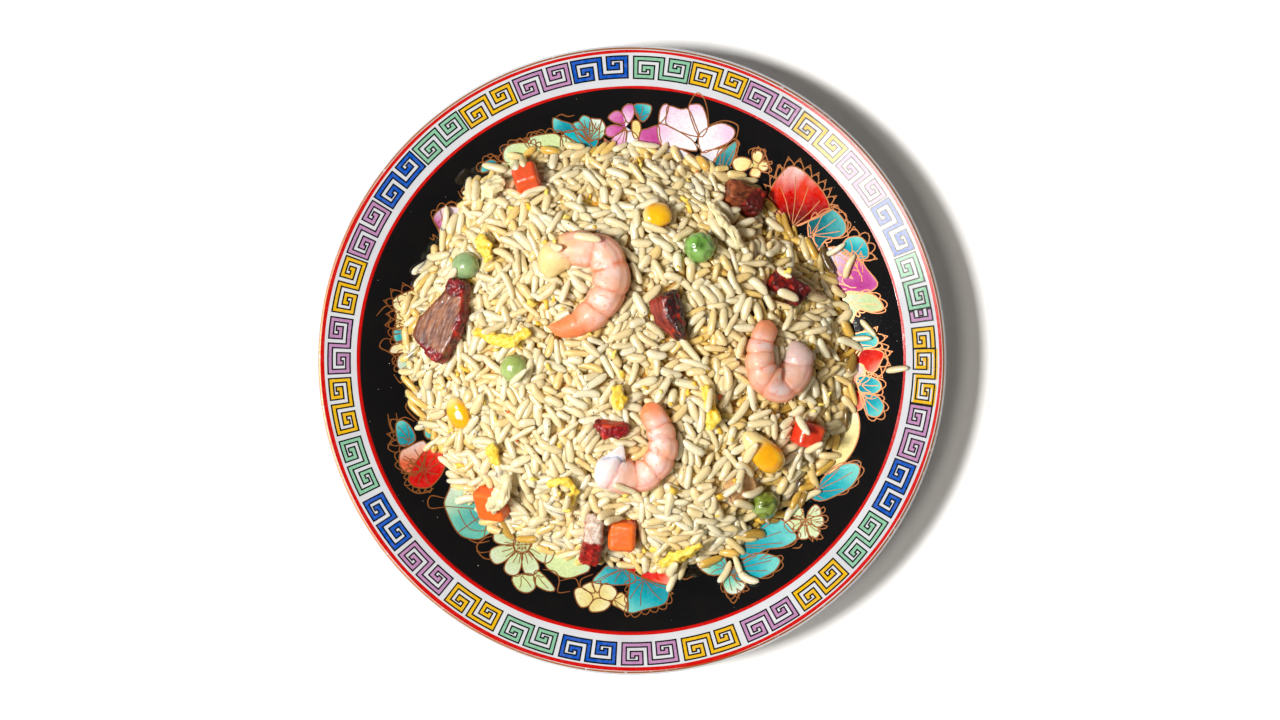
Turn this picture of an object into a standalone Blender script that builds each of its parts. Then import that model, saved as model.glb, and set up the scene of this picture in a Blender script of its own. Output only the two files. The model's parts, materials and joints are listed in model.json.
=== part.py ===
"""A plate of fried rice: a porcelain plate, a heap of rice, and the shrimps, pork, vegetables and egg on it.

Lengths are in metres and +Z is up. The origin is the point of the table below the plate's centre.
Each piece of food is pressed a little into the heap, which is hollowed out to take it.
"""

import math

import bmesh
import bpy
from mathutils import Matrix, Vector, noise

MM = 0.001

# Plate: a turned dish with a flat middle, a wall that rises in a curve, and a flatter lip.
PLATE_RADIUS = 102 * MM
MIDDLE_RADIUS = 46 * MM
LIP_RADIUS = 88.3 * MM
FLOOR_HEIGHT = 6.5 * MM
WALL_RISE = 13.5 * MM
WALL_CURVE = 1.7
LIP_SLOPE = 0.25
FLOOR_THICKNESS = 3.8 * MM
EDGE_THICKNESS = 2.6 * MM
# The wall's thickness is square to its slope, so straight down it measures this much more.
WALL_SLANT = 1.12
FOOT_RADIUS = 58 * MM
FOOT_WIDTH = 3 * MM
PLATE_FACETS = 56

# Heap of rice: how far it reaches from the middle, every 15 degrees from +X, and how deep it lies.
HEAP_REACH_MM = (
    70, 69.5, 68.5, 66, 67, 66, 68, 69, 74, 74.5, 71.5, 72.5,
    71.5, 69, 68.5, 68.5, 66, 65, 65, 69, 68, 69, 70, 71,
)
HEAP_DEPTH = 31 * MM
HEAP_SWELL = 2.4
HEAP_SHOULDER = 0.7
HEAP_ROUGHNESS = 1.3 * MM
HEAP_LUMP_SIZE = 11 * MM
HEAP_EDGE = 0.9 * MM
HEAP_THINNEST = 2.5 * MM
HEAP_FACETS = 56
HEAP_RINGS = 20
# Larger rises and hollows of the heap: x, y, radius and height, in millimetres.
HEAP_LUMPS_MM = (
    (48, 36, 12, -4.5),
    (34, 26, 14, 2.0),
    (-4, -48, 8, -4.0),
    (41, -46, 11, -3.5),
    (24, -44, 12, 2.0),
    (-30, -22, 18, 1.5),
    (4, 50, 15, 1.0),
    (-46, 42, 14, -1.0),
)

REST_GAP = 0.4 * MM
POCKET_GAP = 0.7 * MM
CLEAN_CUT = 0.1
NOISE_SEED = 3


def material(name, colour, roughness):
    made = bpy.data.materials.new(name)
    made.use_nodes = True
    shader = made.node_tree.nodes["Principled BSDF"]
    shader.inputs["Base Color"].default_value = (*colour, 1)
    shader.inputs["Roughness"].default_value = roughness
    shader.inputs["Metallic"].default_value = 0
    return made


def new_collection(name):
    made = bpy.data.collections.new(name)
    bpy.context.scene.collection.children.link(made)
    return made


def add_object(name, data, finish, collection):
    """An object of this mesh or curve, with one material, in the collection."""
    data.materials.append(finish)
    made = bpy.data.objects.new(name, data)
    collection.objects.link(made)
    return made


def mesh_from(bm, name):
    """The bmesh as a smooth-shaded mesh. It ends the bmesh."""
    mesh = bpy.data.meshes.new(name)
    bm.to_mesh(mesh)
    bm.free()
    mesh.shade_smooth()
    return mesh


def through(points, count):
    """This many points, evenly stepped, on a smooth open curve through the given rows of numbers."""
    rows = [Vector(p) for p in points]
    rows = [2 * rows[0] - rows[1], *rows, 2 * rows[-1] - rows[-2]]
    spans = len(rows) - 3
    found = []
    for i in range(count):
        along = i * spans / (count - 1)
        k = min(int(along), spans - 1)
        t = along - k
        a, b, c, d = rows[k : k + 4]
        bend = (2 * a - 5 * b + 4 * c - d) * t * t + (3 * b - a - 3 * c + d) * t**3
        found.append(b + ((c - a) * t + bend) / 2)
    return found


# ---------------------------------------------------------------- plate


def face_height(radius):
    """Height of the plate's upper face at this distance from its axis."""
    climb = (min(radius, LIP_RADIUS) - MIDDLE_RADIUS) / (LIP_RADIUS - MIDDLE_RADIUS)
    wall = WALL_RISE * max(climb, 0) ** WALL_CURVE
    return FLOOR_HEIGHT + wall + LIP_SLOPE * max(radius - LIP_RADIUS, 0)


def underside_height(radius):
    """Height of the plate's lower face outside its foot, which thins towards the edge."""
    thickness = FLOOR_THICKNESS + (EDGE_THICKNESS - FLOOR_THICKNESS) * radius / PLATE_RADIUS
    return face_height(radius) - thickness * WALL_SLANT


def plate_profile():
    """Half the plate's section as x, z points: out over the upper face, round the edge and back below."""
    middle = [(0, FLOOR_HEIGHT), (MIDDLE_RADIUS, FLOOR_HEIGHT)]
    wall_steps = 6
    step = (LIP_RADIUS - MIDDLE_RADIUS) / wall_steps
    wall = [(r, face_height(r)) for r in (MIDDLE_RADIUS + step * (i + 1) for i in range(wall_steps))]
    edge_radius = EDGE_THICKNESS / 2
    turn = PLATE_RADIUS - edge_radius
    edge_middle = face_height(turn) - edge_radius * 1.05
    edge = [
        (turn + edge_radius * math.sin(a), edge_middle + edge_radius * math.cos(a))
        for a in (math.radians(d) for d in (-15, 30, 75, 120, 160))
    ]
    below = [(r, underside_height(r)) for r in (LIP_RADIUS, 78 * MM, 69 * MM, FOOT_RADIUS + 3 * MM)]
    foot_inside = FOOT_RADIUS - FOOT_WIDTH
    recess = FLOOR_HEIGHT - FLOOR_THICKNESS
    foot = [
        (FOOT_RADIUS + 0.7 * MM, 0.9 * MM),
        (FOOT_RADIUS, 0),
        (foot_inside, 0),
        (foot_inside - 0.5 * MM, 0.8 * MM),
        (foot_inside - 1.5 * MM, recess),
        (0, recess),
    ]
    return middle + wall + edge + below + foot


def make_plate(finish, collection):
    mesh = bpy.data.meshes.new("plate")
    points = [(x, 0, z) for x, z in plate_profile()]
    mesh.from_pydata(points, [(i, i + 1) for i in range(len(points) - 1)], [])
    plate = add_object("plate", mesh, finish, collection)
    turned = plate.modifiers.new("turned", "SCREW")
    turned.steps = PLATE_FACETS
    turned.render_steps = PLATE_FACETS
    turned.use_merge_vertices = True
    turned.merge_threshold = 0.01 * MM
    turned.use_smooth_shade = True
    return plate


# ---------------------------------------------------------------- heap


def heap_reach(angle):
    """How far the heap reaches from the middle in this direction."""
    count = len(HEAP_REACH_MM)
    place = (angle / math.tau % 1) * count
    k = int(place)
    t = place - k
    a, b, c, d = (HEAP_REACH_MM[(k + i) % count] for i in (-1, 0, 1, 2))
    bend = (2 * a - 5 * b + 4 * c - d) * t * t + (3 * b - a - 3 * c + d) * t**3
    return (b + ((c - a) * t + bend) / 2) * MM


def heap_height(x, y):
    """Height of the heap's upper surface, which is the plate's own face past the heap's edge."""
    radius = math.hypot(x, y)
    share = radius / heap_reach(math.atan2(y, x))
    depth = HEAP_DEPTH * max(1 - share**HEAP_SWELL, 0) ** HEAP_SHOULDER
    for lump_x, lump_y, size, height in HEAP_LUMPS_MM:
        away = math.hypot(x - lump_x * MM, y - lump_y * MM) / (size * MM)
        depth += height * MM * math.exp(-(away**2))
    depth += HEAP_ROUGHNESS * noise.noise(Vector((x, y, 0)) / HEAP_LUMP_SIZE)
    fade = min(1, max(1 - share, 0) * 12)
    return face_height(radius) + REST_GAP + HEAP_EDGE + max(depth, HEAP_THINNEST) * fade


def make_heap(finish, collection):
    """A sphere's upper half spread into the heap's top, and its lower half laid on the plate."""
    bm = bmesh.new()
    bmesh.ops.create_uvsphere(bm, u_segments=HEAP_FACETS, v_segments=HEAP_RINGS, radius=1)
    for v in bm.verts:
        angle = math.atan2(v.co.y, v.co.x)
        latitude = math.asin(max(-1, min(v.co.z, 1)))
        share = 1 - abs(latitude) / (math.pi / 2)
        reach = share * heap_reach(angle)
        x, y = reach * math.cos(angle), reach * math.sin(angle)
        resting = face_height(reach) + REST_GAP
        if latitude > 0.01:
            z = heap_height(x, y)
        elif latitude < -0.01:
            z = resting
        else:
            z = resting + HEAP_EDGE
        v.co = (x, y, z)
    level = FLOOR_HEIGHT + REST_GAP + 0.01 * MM
    middle = [f for f in bm.faces if all(v.co.z < level for v in f.verts)]
    bmesh.ops.dissolve_faces(bm, faces=middle, use_verts=True)
    bmesh.ops.triangulate(bm, faces=bm.faces)
    return add_object("rice_heap", mesh_from(bm, "rice_heap"), finish, collection)


def heap_normal(x, y):
    """The upper surface's normal, over the breadth of a piece of food."""
    reach = 4 * MM
    rise_x = heap_height(x + reach, y) - heap_height(x - reach, y)
    rise_y = heap_height(x, y + reach) - heap_height(x, y - reach)
    return Vector((-rise_x, -rise_y, 2 * reach)).normalized()


def heap_frame(x, y, lift, yaw_degrees, flat=0.0):
    """Where a piece rests on the heap: its Z along the surface's normal, or upright as flat nears 1."""
    normal = heap_normal(x, y).lerp(Vector((0, 0, 1)), flat).normalized()
    turn = normal.to_track_quat("Z", "Y").to_matrix().to_4x4()
    across = turn.inverted() @ Vector((1, 0, 0))
    level = Matrix.Rotation(math.atan2(across.y, across.x), 4, "Z")
    spin = Matrix.Rotation(math.radians(yaw_degrees), 4, "Z")
    place = Matrix.Translation((x, y, heap_height(x, y) + lift))
    return place @ turn @ level @ spin


# ---------------------------------------------------------------- pieces of food


def loft(bm, stations, sides):
    """Joins oval rings, level with the heap. A station is a centre, half a width and half a height."""
    rings = []
    for i, (centre, half_width, half_height) in enumerate(stations):
        before = stations[max(i - 1, 0)][0]
        after = stations[min(i + 1, len(stations) - 1)][0]
        along = (after - before).normalized()
        across = along.cross(heap_normal(centre.x, centre.y)).normalized()
        up = across.cross(along)
        ring = []
        for k in range(sides):
            a = math.tau * k / sides
            offset = across * half_width * math.cos(a) + up * half_height * math.sin(a)
            ring.append(bm.verts.new(centre + offset))
        rings.append(ring)
    for low, high in zip(rings, rings[1:]):
        for k in range(sides):
            n = (k + 1) % sides
            bm.faces.new((low[k], low[n], high[n], high[k]))
    bm.faces.new(rings[0])
    bm.faces.new(rings[-1])
    bmesh.ops.recalc_face_normals(bm, faces=bm.faces)


def make_shrimp(name, line_mm, finish, collection):
    """A peeled shrimp curled flat on the heap. Its rows are x, y and half thickness, head end first."""
    steps, sides = 14, 8
    stations = []
    for i, (x, y, half) in enumerate(through(line_mm, steps)):
        x, y, half = x * MM, y * MM, half * MM
        blunt = min(1, 0.66 + i * 0.2)
        centre = Vector((x, y, heap_height(x, y) + half * 0.35))
        stations.append((centre, half * blunt, half * 0.95 * blunt))
    tip, before = stations[-1][0], stations[-2][0]
    away = (tip - before).normalized()
    last = line_mm[-1][2] * MM
    for reach, width, height in ((1.2, 0.95, 0.55), (2.0, 1.3, 0.32), (2.6, 1.0, 0.2)):
        spot = tip + away * last * reach
        stations.append((spot, last * width, last * height))
    bm = bmesh.new()
    loft(bm, stations, sides)
    return add_object(name, mesh_from(bm, name), finish, collection)


def make_shred(name, line_mm, width_mm, thick_mm, finish, collection):
    """A shred of egg or meat: the line's rows are x, y and the gap below it, and its width wavers."""
    steps, sides = 8, 6
    stations = []
    for i, (x, y, lift) in enumerate(through(line_mm, steps)):
        along = i / (steps - 1)
        taper = 0.62 + 0.38 * math.sin(math.pi * along)
        waver = 1 + 0.15 * math.sin(along * 9 + x)
        x, y = x * MM, y * MM
        height = heap_height(x, y) + (lift + thick_mm / 2) * MM
        centre = Vector((x, y, height))
        stations.append((centre, width_mm * MM / 2 * taper * waver, thick_mm * MM / 2 * taper))
    bm = bmesh.new()
    loft(bm, stations, sides)
    return add_object(name, mesh_from(bm, name), finish, collection)


def make_chunk(name, size_mm, uneven, frame, finish, collection):
    """A diced or torn piece: a box with rounded edges, whose faces are uneven unless it is cut clean."""
    bm = bmesh.new()
    bmesh.ops.create_cube(bm, size=1, matrix=Matrix.Diagonal((*(s * MM for s in size_mm), 1)))
    if uneven > CLEAN_CUT:
        bmesh.ops.subdivide_edges(bm, edges=bm.edges[:], cuts=1, use_grid_fill=True)
    smallest = min(size_mm) * MM
    seed = Vector((len(name), size_mm[0], size_mm[1]))
    for v in bm.verts:
        v.co += noise.noise_vector(v.co / (smallest * 1.1) + seed) * smallest * uneven
    chunk = add_object(name, mesh_from(bm, name), finish, collection)
    chunk.matrix_world = frame
    rounded = chunk.modifiers.new("rounded", "BEVEL")
    rounded.width = smallest * 0.13
    rounded.segments = 1
    rounded.limit_method = "ANGLE"
    rounded.angle_limit = math.radians(40)
    return chunk


def make_slab(name, outline_mm, thick_mm, frame, finish, collection):
    """A slice with this outline, in x and y about its middle, and rounded edges."""
    curve = bpy.data.curves.new(name, "CURVE")
    curve.dimensions = "2D"
    curve.fill_mode = "BOTH"
    curve.extrude = thick_mm * MM / 2
    line = curve.splines.new("POLY")
    line.points.add(len(outline_mm) - 1)
    for point, (x, y) in zip(line.points, outline_mm):
        point.co = (x * MM, y * MM, 0, 1)
    line.use_cyclic_u = True
    slab = add_object(name, curve, finish, collection)
    slab.matrix_world = frame
    closed = slab.modifiers.new("closed", "WELD")
    closed.merge_threshold = 0.01 * MM
    rounded = slab.modifiers.new("rounded", "BEVEL")
    rounded.width = 1 * MM
    rounded.segments = 2
    rounded.limit_method = "ANGLE"
    rounded.angle_limit = math.radians(25)
    return slab


def make_pea(name, radius_mm, wrinkle, frame, finish, collection):
    """A pea with a dimple where it sat on its pod. A wrinkled one is dented all over."""
    bm = bmesh.new()
    bmesh.ops.create_uvsphere(bm, u_segments=10, v_segments=7, radius=radius_mm * MM)
    for v in bm.verts:
        out = v.co.normalized()
        dimple = 0.1 * math.exp(-((out - Vector((0.3, 0.2, 0.93))).length ** 2) * 6)
        dent = wrinkle * noise.noise(out * 2.1 + Vector((radius_mm, 0, 0)))
        v.co *= 1 - dimple + dent
        v.co.z *= 0.93
    pea = add_object(name, mesh_from(bm, name), finish, collection)
    pea.matrix_world = frame
    return pea


def make_kernel(name, size_mm, root, frame, finish, collection):
    """A corn kernel, smoothed from a box cage. It narrows from its round crown to this share at its root."""
    # Smoothing draws the cage in, so the cage is larger than the kernel by these shares.
    cage = Vector((size_mm[0] * 1.18, size_mm[1] * 1.25, size_mm[2] * 1.25)) * MM
    thinnest = 0.6
    bm = bmesh.new()
    bmesh.ops.create_cube(bm, size=1)
    for v in bm.verts:
        narrow = root if v.co.x < 0 else 1
        v.co = (v.co.x * cage.x, v.co.y * cage.y * narrow, v.co.z * cage.z * max(narrow, thinnest))
    kernel = add_object(name, mesh_from(bm, name), finish, collection)
    kernel.matrix_world = frame
    rounded = kernel.modifiers.new("rounded", "SUBSURF")
    rounded.levels = 2
    rounded.render_levels = 2
    return kernel


def make_shrimps(finish, collection):
    head_to_tail = {
        "shrimp_1": (
            (-26.0, 27.5, 4.7), (-23.0, 34.2, 5.0), (-15.6, 36.8, 4.9), (-7.8, 34.4, 5.1),
            (-5.2, 26.0, 5.4), (-8.4, 17.8, 4.9), (-14.8, 13.0, 4.0), (-20.8, 9.9, 2.7),
        ),
        "shrimp_2": (
            (53.6, 6.4, 3.8), (55.2, -1.8, 4.3), (49.2, -8.8, 4.5), (41.8, -5.4, 4.4),
            (40.4, 2.0, 4.0), (42.2, 7.6, 3.4), (44.4, 11.6, 2.5),
        ),
        "shrimp_3": (
            (-10.8, -31.8, 5.2), (-6.4, -35.6, 5.7), (0.4, -38.0, 4.8), (6.6, -35.9, 4.5),
            (10.6, -29.4, 4.6), (10.0, -23.4, 4.4), (7.9, -18.9, 3.8), (6.0, -15.6, 2.8),
        ),
    }
    return [make_shrimp(name, line, finish, collection) for name, line in head_to_tail.items()]


def make_pork(finish, collection):
    big_outline = (
        (3.2, 13.9), (9.0, 12.3), (8.1, 0.3), (6.5, -3.9), (0, -13.9),
        (-3.6, -12.3), (-9.4, -4.9), (-8.1, 0.3), (1.3, 9.1),
    )
    edge_frame = heap_frame(-61 * MM, 12.6 * MM, 2.6 * MM, 0, flat=0.35)
    made = [make_slab("roast_pork_1", big_outline, 6, edge_frame, finish, collection)]
    # Name, length, width and thickness, x and y, lift, yaw, roll about the length, and how upright it lies.
    torn = (
        ("roast_pork_2", (14, 8.5, 8), (12.1, 13.8), 1.2, 112, 38, 0),
        ("roast_pork_3", (12, 7.6, 7), (50.6, 23.6), 1.2, -25, 20, 0),
        ("roast_pork_4", (13, 8, 6.5), (36.6, 53.0), 4.2, -12, 6, 0.2),
        ("roast_pork_5", (11.5, 4.6, 4.4), (-6.0, -22.2), 1.2, -8, 10, 0),
        ("roast_pork_6", (21, 6.2, 6), (-12.6, -58.2), 3.4, 84, 0, 0.1),
        ("pork_slice", (10, 8.6, 3), (35.2, -41.0), 0.6, 20, 0, 0),
    )
    for name, size, (x, y), lift, yaw, roll, flat in torn:
        rolled = Matrix.Rotation(math.radians(roll), 4, "X")
        frame = heap_frame(x * MM, y * MM, lift * MM, yaw, flat) @ rolled
        made.append(make_chunk(name, size, 0.28, frame, finish, collection))
    return made


def make_carrots(finish, collection):
    # Name, sides, x and y, lift, yaw and how upright it lies.
    diced = (
        ("carrot_1", (8.2, 8.2, 7.5), (-34.0, 59.0), 2.4, 12, 0.2),
        ("carrot_2", (10.0, 10.5, 6.0), (-45.6, -46.6), 2.8, 14, 0.2),
        ("carrot_3", (8.8, 9.6, 8.5), (-3.0, -56.3), 2.0, -4, 0.6),
        ("carrot_4", (8.6, 8.0, 7.5), (57.0, -24.0), 1.6, -18, 0.3),
    )
    return [
        make_chunk(name, size, 0.07, heap_frame(x * MM, y * MM, lift * MM, yaw, flat), finish, collection)
        for name, size, (x, y), lift, yaw, flat in diced
    ]


def make_peas(finish, collection):
    # Name, radius, wrinkle, x and y, lift and yaw.
    picked = (
        ("pea_1", 5.2, 0.02, (21.8, 36.2), 1.8, 40),
        ("pea_2", 4.5, 0.03, (-53.6, 30.6), 1.6, 150),
        ("pea_3", 4.6, 0.02, (-37.4, -2.6), 0.6, -60),
        ("pea_4", 4.7, 0.16, (43.2, -46.8), 2.8, 100),
    )
    return [
        make_pea(name, radius, wrinkle, heap_frame(x * MM, y * MM, lift * MM, yaw), finish, collection)
        for name, radius, wrinkle, (x, y), lift, yaw in picked
    ]


def make_corn(finish, collection):
    # Name, length, width and thickness, its root's share of the width, x and y, lift and yaw.
    picked = (
        ("corn_1", (9.5, 9, 6.5), 0.75, (8.2, 46.6), 1.0, 15),
        ("corn_2", (11, 8.5, 6), 0.6, (-56.0, -17.0), 1.4, -62),
        ("corn_3", (14.5, 11, 7.5), 0.55, (43.4, -30.6), 1.8, -47),
    )
    return [
        make_kernel(name, size, root, heap_frame(x * MM, y * MM, lift * MM, yaw), finish, collection)
        for name, size, root, (x, y), lift, yaw in picked
    ]


def make_shreds(yolk, white, collection):
    # Name, finish, width and thickness, then the line that it lies along with the gap below it.
    torn = (
        ("egg_1", yolk, 4.4, 2.4, (23.2, -8.2, 0.8), (24.6, -13, 0.8), (26, -17.4, 0.8), (25.4, -22.2, 0.8)),
        ("egg_2", yolk, 3.4, 2.6, (-26.6, -40.4, 1), (-22.4, -38.6, 1), (-18.4, -41.4, 1), (-21, -47.6, 1)),
        ("egg_3", yolk, 5, 3.2, (-49.6, 39.4, 1), (-47.4, 36.4, 1), (-45.6, 32.6, 1)),
        ("egg_4", yolk, 4.4, 2.8, (-50, 9.4, 0.9), (-44.6, 7.2, 0.9), (-38.8, 5.9, 0.9), (-32.6, 9.6, 0.9)),
        ("egg_5", yolk, 4.8, 3, (-4.8, -8, 0.8), (-4.2, -12, 0.8), (-3.2, -16, 0.8)),
        ("egg_6", yolk, 5.2, 3, (22.6, -59.6, 2.3), (18.4, -62.2, 2.6), (13.4, -64.4, 3.2), (9.6, -66.6, 4)),
        ("egg_7", yolk, 4.4, 2.8, (-45.2, -26.8, 0.9), (-44.6, -30.2, 0.9), (-42.8, -33.4, 0.9)),
        ("egg_white_1", white, 4.2, 2.4, (24.6, 51, 1), (28.6, 46.4, 1), (32.4, 41.4, 1), (35.2, 36.4, 1)),
        ("egg_white_2", white, 8.4, 4.6, (-50, 54, 3.4), (-45.6, 55.8, 3.6), (-41.8, 59, 3.4)),
        ("chicken_shred", white, 6, 3, (-39.4, -36.6, 1), (-40.8, -40.6, 4), (-43, -45, 8), (-46, -48.6, 9)),
    )
    return [
        make_shred(name, line, width, thick, finish, collection)
        for name, finish, width, thick, *line in torn
    ]


# ---------------------------------------------------------------- pockets


def cutter_for(piece, finish, collection):
    """A copy of the piece as a mesh, in world space and a little fatter, to hollow out the heap."""
    bpy.context.view_layer.update()
    evaluated = piece.evaluated_get(bpy.context.evaluated_depsgraph_get())
    mesh = bpy.data.meshes.new_from_object(evaluated)
    mesh.transform(piece.matrix_world)
    bm = bmesh.new()
    bm.from_mesh(mesh)
    bmesh.ops.remove_doubles(bm, verts=bm.verts, dist=0.01 * MM)
    bm.normal_update()
    moved = [(v, v.co + v.normal * POCKET_GAP) for v in bm.verts]
    for v, spot in moved:
        v.co = spot
    bmesh.ops.triangulate(bm, faces=bm.faces)
    bm.to_mesh(mesh)
    bm.free()
    mesh.materials.clear()
    cutter = add_object(f"pocket_{piece.name}", mesh, finish, collection)
    cutter.hide_render = True
    cutter.display_type = "WIRE"
    return cutter


def cut_pocket(heap, cutter):
    pocket = heap.modifiers.new(cutter.name, "BOOLEAN")
    pocket.operation = "DIFFERENCE"
    pocket.solver = "EXACT"
    pocket.object = cutter


def main():
    noise.seed_set(NOISE_SEED)
    for old in list(bpy.data.objects):
        bpy.data.objects.remove(old)
    parts = new_collection("fried_rice_plate")
    cutters = new_collection("cutters")
    porcelain = material("porcelain", (0.02, 0.02, 0.022), 0.12)
    rice = material("rice", (0.78, 0.64, 0.36), 0.4)
    shrimp = material("shrimp", (0.8, 0.4, 0.26), 0.35)
    pork = material("pork", (0.26, 0.03, 0.02), 0.35)
    carrot = material("carrot", (0.85, 0.16, 0.02), 0.35)
    pea = material("pea", (0.2, 0.36, 0.05), 0.3)
    corn = material("corn", (0.9, 0.45, 0.02), 0.25)
    yolk = material("egg", (0.9, 0.62, 0.1), 0.45)
    white = material("egg_white", (0.85, 0.75, 0.48), 0.45)

    make_plate(porcelain, parts)
    heap = make_heap(rice, parts)
    pressed_in = [
        *make_shrimps(shrimp, parts),
        *make_pork(pork, parts),
        *make_carrots(carrot, parts),
        *make_peas(pea, parts),
        *make_corn(corn, parts),
    ]
    for piece in pressed_in:
        cut_pocket(heap, cutter_for(piece, rice, cutters))
    make_shreds(yolk, white, parts)


main()
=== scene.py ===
"""Dresses the plate of fried rice: painted porcelain, rice grains, shrimps, roast pork, vegetables and egg.

Everything is in metres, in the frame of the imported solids. +Z is up and the plate's middle is the origin.
"""

import json
import math

import bmesh
import bpy
import numpy as np
from bpy.props import FloatProperty, FloatVectorProperty, IntProperty, PointerProperty
from mathutils import Matrix, Vector, noise
from mathutils.bvhtree import BVHTree

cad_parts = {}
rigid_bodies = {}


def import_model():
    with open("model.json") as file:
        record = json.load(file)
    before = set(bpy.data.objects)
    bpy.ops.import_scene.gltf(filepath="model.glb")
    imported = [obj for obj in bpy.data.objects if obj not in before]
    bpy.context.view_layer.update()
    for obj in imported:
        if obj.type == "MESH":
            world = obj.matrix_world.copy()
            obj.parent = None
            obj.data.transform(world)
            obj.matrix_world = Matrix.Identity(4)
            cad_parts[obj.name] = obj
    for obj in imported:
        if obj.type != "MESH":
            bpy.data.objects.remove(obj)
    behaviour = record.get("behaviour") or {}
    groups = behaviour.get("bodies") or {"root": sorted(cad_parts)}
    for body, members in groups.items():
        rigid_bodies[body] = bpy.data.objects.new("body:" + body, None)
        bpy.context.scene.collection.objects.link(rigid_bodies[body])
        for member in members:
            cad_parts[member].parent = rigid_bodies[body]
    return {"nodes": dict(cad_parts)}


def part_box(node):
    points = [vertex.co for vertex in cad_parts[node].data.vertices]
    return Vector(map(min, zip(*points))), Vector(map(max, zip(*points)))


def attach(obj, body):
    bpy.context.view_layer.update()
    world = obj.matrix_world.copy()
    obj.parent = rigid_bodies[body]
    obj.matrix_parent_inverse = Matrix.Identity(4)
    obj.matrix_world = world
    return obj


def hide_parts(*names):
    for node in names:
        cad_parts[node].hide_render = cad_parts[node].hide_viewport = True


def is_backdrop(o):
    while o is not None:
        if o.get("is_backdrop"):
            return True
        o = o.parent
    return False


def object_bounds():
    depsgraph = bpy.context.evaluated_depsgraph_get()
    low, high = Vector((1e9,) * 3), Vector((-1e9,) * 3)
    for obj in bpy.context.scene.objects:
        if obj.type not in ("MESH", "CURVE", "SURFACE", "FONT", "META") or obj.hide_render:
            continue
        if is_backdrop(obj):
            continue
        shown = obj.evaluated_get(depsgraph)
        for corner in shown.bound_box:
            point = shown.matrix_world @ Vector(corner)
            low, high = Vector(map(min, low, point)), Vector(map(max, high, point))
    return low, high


bl_info = {
    "name": "Plate of Fried Rice",
    "version": (1, 0, 0),
    "blender": (4, 5, 0),
    "location": "3D View > Sidebar > Fried Rice",
    "description": "Painted porcelain plate with a heap of fried rice, shrimps, roast pork, vegetables and egg",
    "category": "Object",
}

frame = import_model()
CAD_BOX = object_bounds()
PLATE_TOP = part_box("plate")[1]
HEAP_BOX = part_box("rice_heap")

MM = 0.001

# The plate's section, as its solid has it.
PLATE_RADIUS = PLATE_TOP.x
MIDDLE_RADIUS = 46 * MM
LIP_RADIUS = 88.3 * MM
FLOOR_HEIGHT = 6.5 * MM
WALL_RISE = 13.5 * MM
WALL_CURVE = 1.7
LIP_SLOPE = 0.25
FLOOR_THICKNESS = 3.8 * MM
EDGE_THICKNESS = 2.6 * MM
FOOT_RADIUS = 58 * MM
FOOT_WIDTH = 3 * MM

# The key border: a band of meanders, each drawn in units of the ribbon's width.
KEY_UNIT = 1.4 * MM
KEY_OUTER_RADIUS = 98.4 * MM
KEY_LINE = (
    (2.4, 2.95), (2.4, 2.45), (4.2, 2.45), (4.2, 4.5), (0.5, 4.5), (0.5, 0.5), (6.25, 0.5),
    (6.25, 4.5), (12.0, 4.5), (12.0, 0.5), (8.3, 0.5), (8.3, 2.55), (10.1, 2.55), (10.1, 2.05),
)
# Each meander's colour and where it starts, in degrees clockwise from the far side.
KEY_PLACES = (
    ("G", 0.4), ("Y", 11.7), ("P", 23.1), ("Y", 34.8), ("P", 46.3), ("B", 57.6), ("G", 69.0),
    ("Y", 87.7), ("P", 98.8), ("B", 110.4), ("G", 122.3), ("Y", 134.5), ("P", 146.6), ("Y", 159.0), ("P", 171.0),
    ("B", 183.0), ("G", 195.0), ("Y", 207.1), ("P", 219.3), ("B", 231.2), ("G", 243.5), ("Y", 255.6), ("P", 267.4),
    ("Y", 279.3), ("P", 290.8), ("B", 302.4), ("G", 313.9), ("Y", 325.3), ("P", 336.9), ("B", 348.4),
)
# Where the border's ends meet it is made up with parts of meanders: colour, start and line.
KEY_SEAM = (
    ("P", 71.1, ((10.9, 4.5), (12.45, 4.5), (12.45, 0.5), (10.9, 0.5))),
    ("P", 71.1, ((10.85, 2.5), (11.1, 2.5))),
    ("Y", 83.5, ((2.4, 2.95), (2.4, 2.45), (4.2, 2.45), (4.2, 4.5), (0.5, 4.5), (0.5, 0.5), (4.4, 0.5))),
)
KEY_SPAN_DEGREES = 10.9
KEY_LENGTH = 12.5

PAINT_LIFT = 0.03 * MM
LINE_LIFT = 0.055 * MM


def tone(red, green, blue):
    """A colour as it is shown on a screen, from 0 to 1, as the linear colour that shaders take."""
    return tuple(c / 12.92 if c <= 0.04045 else ((c + 0.055) / 1.055) ** 2.4 for c in (red, green, blue))


def mix(a, b, share):
    return tuple(p + (q - p) * share for p, q in zip(a, b))


def ramp(low, high, value):
    """0 up to low, 1 from high, and a smooth rise between."""
    t = min(max((value - low) / (high - low), 0), 1)
    return t * t * (3 - 2 * t)


# ---------------------------------------------------------------- settings


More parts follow.
